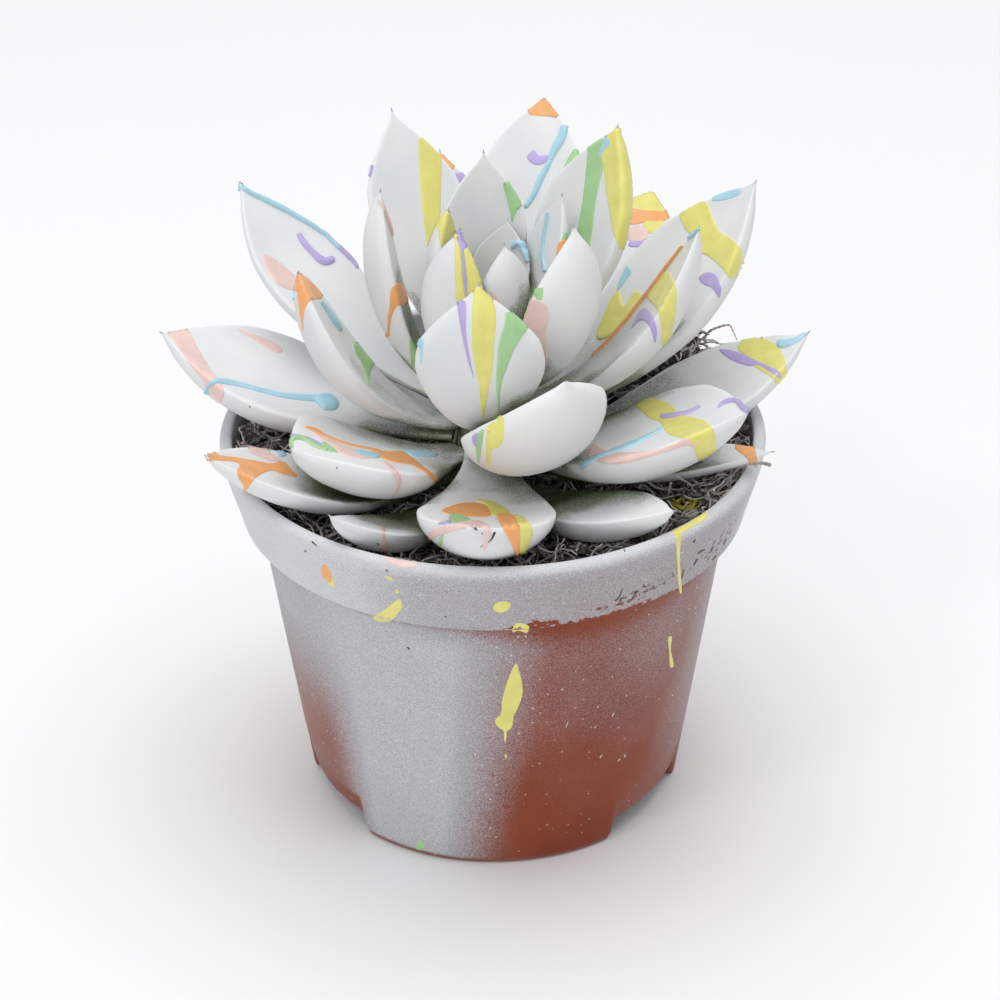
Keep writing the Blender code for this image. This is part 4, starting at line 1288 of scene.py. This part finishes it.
# Leaf, colour, then the outline of a splash.
SPLASHES = (
    (26, "yellow", [(419, 136), (430, 145), (441, 155), (441, 197), (440, 217), (433, 233),
        (428, 246), (427, 246), (423, 215), (420, 184)]),
    (16, "orange", [(441, 155), (450, 156), (457, 162), (455, 168), (446, 167)]),
    (16, "lavender", [(453, 174), (460, 174), (466, 181), (462, 186), (456, 182)]),
    (19, "blue", [(238, 180), (249, 189), (244, 191), (240, 190)]),
    (19, "pink", [(262, 255), (272, 257), (284, 266), (296, 277), (295, 284), (293, 291),
        (277, 284), (266, 269)]),
    (17, "orange", [(298, 271), (306, 277), (317, 284), (327, 291), (335, 299), (330, 302),
        (324, 299), (315, 299), (308, 304), (305, 315), (304, 333), (302, 322), (299, 302)]),
    (17, "green", [(355, 341), (364, 339), (372, 348), (379, 357), (375, 364), (372, 372),
        (370, 385), (370, 397), (368, 380), (362, 362), (356, 351)]),
    (13, "pink", [(166, 333), (187, 331), (197, 347), (209, 367), (219, 380), (224, 391),
        (222, 401), (216, 407), (208, 396), (201, 380), (186, 360), (174, 342)]),
    (13, "pink", [(237, 330), (250, 333), (266, 339), (277, 344), (283, 350), (279, 353),
        (270, 351), (257, 342)]),
    (23, "yellow", [(479, 284), (486, 295), (494, 304), (496, 320), (494, 347), (493, 366),
        (489, 389), (486, 405), (483, 419), (480, 405), (479, 389), (475, 366), (472, 347),
        (472, 320), (473, 300)]),
    (23, "green", [(506, 312), (516, 317), (528, 326), (521, 338), (514, 350), (507, 368),
        (501, 386), (499, 414), (497, 398), (496, 381), (497, 363), (499, 343), (504, 325)]),
    (23, "lavender", [(458, 303), (466, 302), (466, 330), (470, 358), (474, 379), (467, 358),
        (461, 330)]),
    (27, "yellow", [(455, 237), (459, 236), (462, 260), (464, 285), (465, 303), (456, 303)]),
    (27, "yellow", [(462, 248), (469, 255), (477, 270), (480, 284), (474, 292), (467, 299),
        (465, 285), (463, 266)]),
    (27, "lavender", [(456, 229), (462, 231), (466, 243), (463, 252), (458, 244)]),
    (29, "yellow", [(444, 205), (450, 214), (456, 226), (451, 236), (442, 247), (439, 240),
        (438, 228), (439, 216)]),
    (22, "orange", [(389, 306), (390, 291), (395, 284), (401, 284), (405, 291), (405, 305),
        (398, 306), (393, 313), (390, 327), (389, 352), (387, 335), (387, 318)]),
    (22, "green", [(409, 338), (414, 344), (418, 352), (415, 360), (412, 373), (410, 356)]),
    (11, "lavender", [(283, 438), (293, 434), (306, 436), (317, 441), (329, 448), (325, 451),
        (314, 446), (304, 440), (292, 438), (286, 443)]),
    (11, "green", [(322, 442), (330, 442), (341, 449), (341, 453), (330, 452), (322, 449)]),
    (11, "orange", [(304, 427), (315, 428), (329, 436), (351, 444), (375, 449), (387, 452),
        (402, 452), (411, 457), (425, 468), (438, 478), (443, 487), (440, 492), (437, 485),
        (427, 475), (411, 466), (393, 463), (380, 458), (370, 451), (351, 447), (326, 438),
        (311, 431)]),
    (11, "pink", [(311, 432), (329, 439), (351, 448), (376, 454), (373, 458), (360, 459),
        (342, 455), (329, 446)]),
    (11, "pink", [(382, 461), (393, 467), (401, 477), (399, 487), (392, 498), (395, 481),
        (390, 471)]),
    (11, "blue", [(355, 450), (378, 454), (379, 458), (366, 458), (356, 455)]),
    (11, "blue", [(406, 450), (435, 453), (435, 457), (420, 457), (409, 455)]),
    (7, "orange", [(205, 454), (219, 455), (235, 457), (253, 460), (270, 463), (284, 462),
        (291, 469), (298, 477), (284, 475), (273, 471), (264, 473), (255, 479), (249, 487),
        (246, 493), (243, 485), (238, 478), (237, 471), (239, 465), (233, 462), (221, 461),
        (211, 460)]),
    (7, "pink", [(247, 450), (262, 449), (282, 461), (270, 461), (257, 456)]),
    (7, "blue", [(275, 450), (284, 449), (287, 455), (279, 456)]),
    (1, "pink", [(380, 527), (385, 528), (385, 536), (390, 545), (385, 554), (379, 552),
        (382, 541)]),
    (14, "orange", [(442, 510), (462, 503), (483, 504), (491, 512), (488, 517), (471, 517),
        (451, 515)]),
    (14, "yellow", [(474, 500), (488, 500), (505, 508), (511, 516), (493, 516), (487, 506)]),
    (14, "green", [(450, 514), (462, 515), (470, 520), (451, 523)]),
    (14, "lavender", [(437, 524), (450, 520), (450, 524)]),
    (14, "pink", [(429, 538), (433, 529), (449, 525), (471, 521), (485, 523), (491, 532),
        (487, 545), (483, 550), (484, 536), (482, 529), (471, 528), (451, 532), (438, 536),
        (431, 541)]),
    (14, "green", [(438, 541), (443, 536), (440, 553)]),
    (14, "yellow", [(513, 516), (525, 519), (532, 532), (526, 549), (518, 554), (517, 535)]),
    (14, "orange", [(497, 516), (516, 518), (520, 537), (518, 558), (512, 546), (504, 531)]),
    (20, "yellow", [(647, 296), (658, 281), (665, 272), (673, 278), (677, 294), (675, 321),
        (668, 341), (658, 362), (661, 343), (661, 323), (656, 308)]),
    (20, "lavender", [(631, 329), (638, 314), (645, 308), (652, 314), (657, 330), (655, 344),
        (651, 330), (646, 322), (640, 321)]),
    (32, "pink", [(490, 290), (496, 294), (502, 307), (498, 306), (492, 298)]),
    (25, "green", [(536, 293), (543, 287), (542, 300), (537, 301)]),
    (25, "pink", [(529, 304), (538, 299), (547, 305), (549, 319), (546, 332), (547, 348),
        (547, 369), (544, 352), (538, 337), (529, 334), (524, 323)]),
    (30, "green", [(574, 212), (576, 225), (568, 239), (565, 238), (571, 223)]),
    (30, "orange", [(556, 260), (559, 243), (569, 238), (566, 250), (560, 260)]),
    (28, "green", [(504, 183), (509, 178), (517, 187), (524, 200), (517, 212), (513, 222),
        (511, 212), (507, 196)]),
    (21, "orange", [(528, 112), (537, 101), (545, 97), (553, 99), (559, 109), (563, 118),
        (552, 116), (540, 115)]),
    (21, "lavender", [(527, 156), (534, 150), (539, 155), (548, 155), (545, 163), (536, 165),
        (529, 161)]),
    (21, "green", [(574, 150), (581, 148), (583, 152), (574, 163), (564, 170)]),
    (24, "green", [(588, 151), (596, 145), (606, 139), (603, 169), (597, 196), (592, 236),
        (589, 252), (585, 245), (578, 232), (583, 196), (586, 169)]),
    (24, "yellow", [(608, 139), (615, 132), (623, 124), (627, 145), (631, 151), (633, 176),
        (632, 205), (629, 232), (624, 262), (621, 250), (614, 232), (611, 214), (607, 192),
        (604, 165), (602, 156)]),
    (24, "blue", [(598, 155), (602, 145), (609, 138), (611, 145), (604, 152), (600, 159)]),
    (12, "yellow", [(632, 212), (634, 198), (643, 191), (653, 190), (663, 197), (672, 211),
        (650, 210)]),
    (12, "yellow", [(645, 219), (656, 217), (664, 222), (660, 231), (650, 234), (644, 228)]),
    (12, "orange", [(630, 209), (645, 210), (662, 211), (673, 213), (665, 221), (648, 222),
        (631, 224)]),
    (12, "pink", [(629, 229), (640, 226), (648, 231), (646, 240), (630, 242)]),
    (12, "lavender", [(629, 243), (638, 241), (645, 243), (641, 247), (630, 247)]),
    (15, "blue", [(709, 200), (721, 193), (735, 187), (743, 188), (738, 195), (723, 200)]),
    (15, "yellow", [(679, 212), (688, 204), (701, 199), (709, 206), (713, 218), (721, 232),
        (731, 238), (742, 251), (739, 266), (731, 279), (721, 267), (708, 256), (701, 252),
        (700, 236), (692, 236), (684, 227), (680, 218)]),
    (15, "lavender", [(699, 277), (708, 272), (717, 276), (721, 288), (719, 298), (712, 288),
        (703, 284)]),
    (15, "blue", [(627, 266), (632, 271), (625, 282), (617, 292), (620, 279)]),
    (15, "yellow", [(597, 332), (604, 315), (612, 297), (620, 291), (624, 306), (634, 292),
        (642, 295), (634, 310), (620, 330), (600, 340)]),
    (10, "yellow", [(617, 404), (631, 392), (648, 390), (654, 398), (668, 402), (680, 413),
        (694, 417), (707, 421), (715, 434), (715, 451), (710, 463), (700, 471), (698, 461),
        (692, 446), (685, 439), (670, 435), (663, 428), (660, 422), (648, 417), (639, 408),
        (629, 404)]),
    (10, "pink", [(593, 444), (601, 448), (614, 452), (648, 451), (673, 444), (687, 438),
        (698, 450), (687, 446), (673, 450), (646, 458), (619, 464), (600, 463), (588, 456)]),
    (8, "yellow", [(739, 343), (750, 340), (767, 340), (779, 348), (786, 364), (783, 379),
        (777, 386), (772, 378), (753, 366), (746, 357), (738, 350)]),
    (8, "lavender", [(719, 350), (731, 350), (748, 356), (765, 364), (779, 371), (781, 380),
        (774, 376), (760, 367), (748, 366), (731, 360)]),
    (4, "orange", [(734, 447), (743, 443), (753, 447), (757, 457), (755, 465), (745, 457)]),
    (18, "yellow", [(487, 427), (494, 421), (503, 415), (504, 436), (499, 447), (492, 450),
        (490, 464), (486, 463), (486, 441)]),
    (18, "green", [(479, 432), (484, 429), (482, 446), (479, 464), (476, 451), (476, 439)]),
    (18, "lavender", [(472, 437), (478, 433), (478, 445), (474, 445)]),
    (POT, "orange", [(321, 566), (326, 565), (331, 572), (334, 586), (329, 583), (322, 576)]),
    (POT, "yellow", [(331, 571), (335, 586), (331, 586), (328, 582), (331, 578)]),
    (POT, "yellow", [(373, 617), (384, 610), (394, 602), (400, 599), (402, 608), (392, 620),
        (384, 622), (377, 621)]),
    (POT, "yellow", [(395, 590), (398, 589), (399, 593), (396, 594)]),
    (POT, "yellow", [(384, 576), (389, 577), (393, 579), (392, 581), (387, 579)]),
    (POT, "yellow", [(493, 609), (496, 603), (505, 601), (511, 604), (508, 610), (500, 613)]),
    (POT, "yellow", [(512, 632), (515, 624), (521, 623), (529, 626), (527, 633), (519, 631)]),
    (POT, "yellow", [(515, 664), (519, 670), (523, 690), (519, 706), (514, 716), (512, 727),
        (506, 731), (498, 727), (495, 720), (501, 713), (502, 700), (507, 682)]),
    (POT, "yellow", [(504, 729), (507, 729), (506, 741), (504, 741)]),
    (POT, "yellow", [(505, 754), (507, 755), (507, 758), (505, 758)]),
    (POT, "yellow", [(668, 638), (672, 637), (671, 650), (674, 665), (670, 667), (669, 652)]),
    (POT, "yellow", [(676, 529), (681, 529), (680, 560), (682, 591), (679, 590), (677, 560)]),
    (POT, "yellow", [(669, 529), (680, 524), (694, 518), (707, 512), (704, 520), (692, 527),
        (683, 533), (676, 535)]),
    (POT, "pink", [(384, 555), (398, 559), (415, 562), (417, 566), (404, 568), (389, 563)]),
    (POT, "green", [(417, 843), (420, 840), (424, 844), (423, 850), (416, 849)]),
    (23, "blue", [(421, 334), (424, 333), (423, 350), (421, 366), (420, 350)]),
)

# Leaf, colour, widths along it, then the middle of a drip.
DRIPS = (
    (19, "blue", (4, 5, 4, 4), [(246, 187), (266, 195), (284, 206), (306, 219), (322, 228),
        (344, 243)]),
    (19, "lavender", (4, 4, 3), [(343, 242), (351, 251), (360, 265)]),
    (19, "lavender", (5, 6, 6, 8, 8), [(299, 235), (304, 243), (313, 253), (323, 261),
        (331, 260)]),
    (19, "blue", (2, 2), [(294, 284), (293, 299)]),
    (13, "blue", (4, 5, 4, 4, 5, 7), [(206, 397), (207, 388), (215, 382), (226, 382), (244, 386),
        (262, 391), (284, 396), (306, 398), (318, 399)]),
    (13, "blue", (7, 14, 17, 14), [(316, 399), (323, 401), (329, 403), (332, 404)]),
    (22, "pink", (2, 3, 2), [(379, 200), (384, 210), (389, 224), (392, 235)]),
    (27, "lavender", (3, 4, 2), [(462, 250), (464, 270), (467, 298)]),
    (11, "green", (3, 4, 3), [(285, 446), (291, 439), (304, 439), (315, 446), (326, 450)]),
    (31, "blue", (5, 7, 5, 4), [(513, 247), (517, 243), (524, 246), (529, 253), (531, 260)]),
    (30, "blue", (3, 3, 3, 4), [(548, 213), (545, 232), (543, 254), (545, 270)]),
    (21, "blue", (8, 9, 5, 6, 6, 5), [(564, 129), (562, 137), (554, 151), (548, 165), (540, 180),
        (534, 194), (526, 206)]),
    (12, "lavender", (5, 6, 5), [(650, 247), (654, 246), (659, 249)]),
    (20, "orange", (2, 3, 3, 3, 3, 3, 2), [(678, 243), (668, 250), (660, 263), (652, 281),
        (641, 299), (625, 317), (605, 337), (589, 352)]),
    (20, "blue", (2, 4, 3), [(697, 226), (692, 231), (687, 236)]),
    (10, "lavender", (5, 5, 3, 2), [(663, 417), (673, 416), (687, 413), (700, 407)]),
    (10, "lavender", (2, 4, 4, 4), [(719, 407), (726, 402), (738, 401), (748, 408)]),
    (10, "blue", (2, 4, 5, 4, 6), [(663, 428), (648, 437), (629, 446), (610, 453), (595, 459),
        (583, 466)]),
    (8, "blue", (9, 7, 5, 5, 3), [(781, 344), (789, 343), (797, 340), (806, 334)]),
    (18, "yellow", (3, 4), [(488, 428), (489, 430)]),
    (17, "blue", (2.5, 4.6, 5.4, 4.0), [(321, 302), (327, 310), (333, 319), (340, 329)]),
    (14, "soil", (2.2, 2.0), [(475.5, 528.5), (476.5, 529.8)]),
    (14, "soil", (1.2, 1.2), [(482, 533), (482.6, 534)]),
    (14, "soil", (3.0, 1.2, 0.8), [(494.5, 533), (491, 540), (486, 544), (480, 547)]),
    (1, "soil", (1.8, 1.8), [(377.5, 543.5), (378.3, 544.5)]),
    (11, "soil", (1.3, 1.3), [(336.4, 467.5), (337, 468.3)]),
    (13, "soil", (1.3, 1.3), [(249.5, 406.5), (250, 407.3)]),
    (7, "soil", (1.2, 1.2), [(270, 467), (270.5, 467.6)]),
    (26, "lavender", (1.6, 2.2), [(367.5, 176), (371.5, 166)]),
    (POT, "soil", (2.0, 1.2), [(312.5, 542), (316.5, 546)]),
    (POT, "soil", (1.4, 1.4), [(304.8, 550.6), (306, 551.8)]),
    (POT, "soil", (1.6, 1.2), [(386, 570), (388, 571.5)]),
    (POT, "soil", (1.3, 1.3), [(445, 616.3), (446, 617)]),
    (POT, "soil", (2.0, 1.8), [(407.8, 647.6), (409.2, 649)]),
    (POT, "soil", (1.5, 1.2), [(624, 549.5), (625, 551.5)]),
    (POT, "soil", (2.0, 1.6), [(693.5, 542), (695.2, 540)]),
    (POT, "soil", (1.2, 2.8, 2.0), [(697.5, 554), (700.5, 551.5), (704.5, 549.8)]),
    (POT, "soil", (1.8, 2.4), [(694, 565), (696.8, 559.5)]),
    (POT, "soil", (1.2, 2.4, 1.0), [(710, 553), (712, 549), (713.5, 545.5)]),
    (POT, "soil", (1.6, 2.2), [(712.5, 560), (716, 556)]),
    (POT, "soil", (1.4, 1.2), [(723.5, 544), (726.5, 538.5)]),
    (POT, "soil", (1.2, 2.2, 1.0), [(681.5, 579), (682.5, 574.5), (684, 570)]),
    (POT, "soil", (1.4, 1.4), [(672.4, 573.6), (673.2, 574.6)]),
    (POT, "soil", (1.4, 1.6, 0.9), [(614.8, 600.5), (619.5, 596.5), (622.4, 588)]),
    (POT, "white", (0.9, 0.9), [(566, 727), (568, 722)]),
    (POT, "white", (0.9, 0.9), [(594.5, 728), (596, 726)]),
    (POT, "white", (0.9, 0.9), [(612, 716), (614, 713)]),
    (POT, "white", (0.9, 0.9), [(600, 757.5), (602, 755)]),
    (POT, "white", (0.9, 0.9), [(618, 761), (620, 759)]),
    (POT, "white", (0.9, 0.9), [(624.5, 757), (625.5, 755)]),
)

PASTELS = {
    "yellow": (0.83, 0.77, 0.22), "orange": (0.93, 0.43, 0.16), "blue": (0.42, 0.69, 0.82),
    "green": (0.40, 0.66, 0.32), "lavender": (0.51, 0.42, 0.76), "pink": (0.88, 0.64, 0.59),
    "white": (0.74, 0.73, 0.73), "soil": (0.035, 0.030, 0.028),
}


def pastel_paint(name, colour):
    """Thick craft paint, satin, paler where the film thins out over the white."""
    made, tree, shader, place = new_material(name, 0.3, 0.5)
    tone = node(tree, "ShaderNodeTexNoise", {"Vector": place, "Scale": 230.0, "Detail": 3.0})
    deep = tuple(0.90 * c for c in colour)
    body = mixed(tree, ramp(tree, tone.outputs["Fac"], 0.35, 0.65), colour, deep)
    thin = ramp(tree, value_of(tree, "film"), 0.0, 0.4, 0.16, 0.0)
    tree.links.new(mixed(tree, thin, body, LEAF_WARM), shader.inputs["Base Color"])
    satin = ramp(tree, tone.outputs["Fac"], 0.3, 0.7, 0.28, 0.42)
    tree.links.new(satin, shader.inputs["Roughness"])
    relief(tree, shader, tone.outputs["Fac"], 0.12, 0.0002)
    return made


pot_faces = [tuple(p.vertices) for p in pot.data.polygons]
leaf_trees[POT] = BVHTree.FromPolygons([v.co for v in pot.data.vertices], pot_faces)
films = {colour: ([], [], []) for colour in PASTELS}


def add_film(number, colour, outline, lift, edge):
    """Adds one film to the mesh of its colour."""
    points, faces, film = paint_film(number, outline, lift, edge)
    all_points, all_faces, all_film = films[colour]
    first = len(all_points)
    all_points += points
    all_faces += [tuple(v + first for v in face) for face in faces]
    all_film += film


# Heights are in millimetres: each splash on a leaf lies a little higher than the one before.
POT_FILM = 0.10
FIRST_FILM = 0.16
NEXT_FILM = 0.06
FLECK_FILM = 0.12
ROUND_EDGE = 2.2
laid_on = {}
for number, colour, outline in SPLASHES:
    laid_on[number] = laid_on.get(number, -1) + 1
    lift = POT_FILM if number == POT else FIRST_FILM + NEXT_FILM * laid_on[number]
    typed = np.array(outline, float)
    shift = (to_leaf(number, outline, 0) - typed).mean(0)
    laid = rounded(typed + 0.8 * shift, True, OUTLINE_SPACING)
    if number == POT:
        laid = thinned([pot_place(point)[0] for point in laid])
    else:
        laid = round_the_edge(number, laid)
    add_film(number, colour, laid, lift, ROUND_EDGE)
for number, colour, widths, middle in DRIPS:
    middle = to_leaf(number, rounded(middle, False, 6), 0.5 * min(widths))
    lift = FLECK_FILM if colour in ("white", "soil") else 0.45 + 0.045 * max(widths)
    add_film(number, colour, stroke_outline(middle, widths), lift, max(widths) / 2)
for colour, (points, faces, film) in films.items():
    splash = mesh_object(f"{colour}_splashes", points, faces)
    add_values(splash, "film", film)
    tidy_normals(splash)
    splash.data.materials.append(pastel_paint(f"{colour}_paint", PASTELS[colour]))
    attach(splash, "root")

# The roots. A few dry pale roots that came up with the peat, each thinner toward its end. They
# lie loose on it and curl over the rim on the right.
ROOT_SIDES = 8
ROOT_STEPS = 8
ROOT_DARK = (0.30, 0.20, 0.17)
ROOT_PALE = (0.62, 0.52, 0.47)


def way_to_height(x, y, z):
    """The place at a height in millimetres that is seen at a point of the picture."""
    way = way_through(x, y)
    return np.array(EYE + way * ((z * MM - EYE.z) / way.z))


def smooth_line(values, at):
    """A smooth curve through values at 0, 1, 2 and so on."""
    last = len(values) - 1
    first = np.clip(np.floor(at).astype(int), 0, last - 1)
    return between(*(values[np.clip(first + k, 0, last)] for k in (-1, 0, 1, 2)), at - first)


def tube(points, thickness, sides):
    """A closed tube along a smooth line through the points, thinner toward its end."""
    count = ROOT_STEPS * (len(points) - 1)
    at = np.linspace(0, len(points) - 1, count)
    middle = np.stack([smooth_line(points[:, k], at) for k in range(3)], 1)
    ahead = np.gradient(middle, axis=0)
    ahead /= np.linalg.norm(ahead, axis=1)[:, None]
    side = np.cross(ahead, (0.3, 0.2, 0.93))
    side /= np.linalg.norm(side, axis=1)[:, None]
    up = np.cross(side, ahead)
    turn = np.linspace(0, math.tau, sides, endpoint=False)
    wide = thickness * np.linspace(1, 0.3, count) * (1 + 0.25 * np.sin(np.arange(count) * 1.7))
    rings = middle[:, None] + wide[:, None, None] * (
        np.cos(turn)[None, :, None] * side[:, None] + np.sin(turn)[None, :, None] * up[:, None])
    grid = np.arange(count * sides).reshape(count, sides)
    beside = np.roll(grid, -1, 1)
    faces = np.stack([grid[:-1], grid[1:], beside[1:], beside[:-1]], -1).reshape(-1, 4).tolist()
    return rings.reshape(-1, 3), faces + [grid[0].tolist(), grid[-1][::-1].tolist()]


# Thickness, then the line, each place in the picture with its height.
ROOTS = (
    (0.42, ((770, 465, 89.5), (762, 463, 89), (752, 464, 88), (741, 467, 87.5), (733, 474, 87),
            (727, 483, 86), (717, 491, 85), (709, 502, 84))),
    (0.34, ((752, 464, 88), (745, 476, 87), (733, 488, 86.5), (723, 496, 86), (714, 508, 85))),
    (0.26, ((741, 467, 87), (729, 470, 86.5), (720, 478, 86), (712, 482, 85), (700, 492, 84))),
    (0.30, ((671, 482, 86), (669, 492, 84), (667, 500, 82), (668, 508, 80))),
    (0.36, ((704, 338, 92), (710, 331, 95), (719, 327, 97), (729, 325, 98), (733, 331, 97),
            (737, 340, 94))),
    (0.26, ((700, 344, 92), (711, 342, 94), (722, 344, 94), (735, 342, 93))),
    (0.20, ((688, 346, 92), (691, 333, 96), (699, 327, 98), (708, 323, 99))),
)
root_points = []
root_faces = []
for thickness, places in ROOTS:
    points, faces = tube(
        np.array([way_to_height(*place) for place in places]), thickness * MM, ROOT_SIDES)
    root_faces += [tuple(v + len(root_points) for v in face) for face in faces]
    root_points += list(points)
roots = mesh_object("dry_roots", root_points, root_faces)
tidy_normals(roots)
roots.data.materials.append(fibre_material("root_skin", ROOT_DARK, ROOT_PALE, 0.35))
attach(roots, "root")

# The floor and the light. A matt pale floor lies just under the pot's feet. The even light of
# a bright room comes from all round, with a wide soft box overhead and two weaker ones in front.
FLOOR_SIZE = 6
FLOOR_Z = -0.0002
FLOOR_PALE = (0.90, 0.90, 0.90)
FLOOR_PALER = (0.93, 0.93, 0.93)
ROOM_COLOUR = (0.97, 0.985, 1.0, 1)
ROOM_STRENGTH = 0.62
bpy.ops.mesh.primitive_plane_add(size=FLOOR_SIZE, location=(0, 0, FLOOR_Z))
floor = bpy.context.object
floor.name = "floor"
pale, tree, shader, place = new_material("pale_floor", 0.7, 0.2)
cloudy = node(tree, "ShaderNodeTexNoise", {"Vector": place, "Scale": 3.0})
tree.links.new(mixed(tree, cloudy.outputs["Fac"], FLOOR_PALE, FLOOR_PALER),
               shader.inputs["Base Color"])
floor.data.materials.append(pale)

world = bpy.data.worlds.new("studio")
bpy.context.scene.world = world
world.use_nodes = True
room = world.node_tree.nodes["Background"]
room.inputs["Color"].default_value = ROOM_COLOUR
room.inputs["Strength"].default_value = ROOM_STRENGTH


def soft_box(name, place, aim, size, power):
    """A soft light at a place, turned toward its aim; size in metres, power in watts."""
    light = bpy.data.lights.new(name, "AREA")
    light.shape = "RECTANGLE"
    light.size = size[0]
    light.size_y = size[1]
    light.energy = power
    obj = bpy.data.objects.new(name, light)
    way = (Vector(aim) - Vector(place)).to_track_quat("-Z", "Y")
    obj.matrix_world = Matrix.Translation(place) @ way.to_matrix().to_4x4()
    bpy.context.scene.collection.objects.link(obj)


soft_box("overhead_box", (0.05, 0.15, 1.3), (0, 0, 0.08), (1.3, 1.2), 9.0)
soft_box("front_box", (-0.5, -1.3, 0.7), (0, 0, 0.07), (0.9, 0.7), 2.4)
soft_box("small_box", (-0.45, -0.55, 0.95), (0, 0, 0.08), (0.2, 0.2), 0.9)
bpy.context.scene.view_settings.view_transform = "Standard"
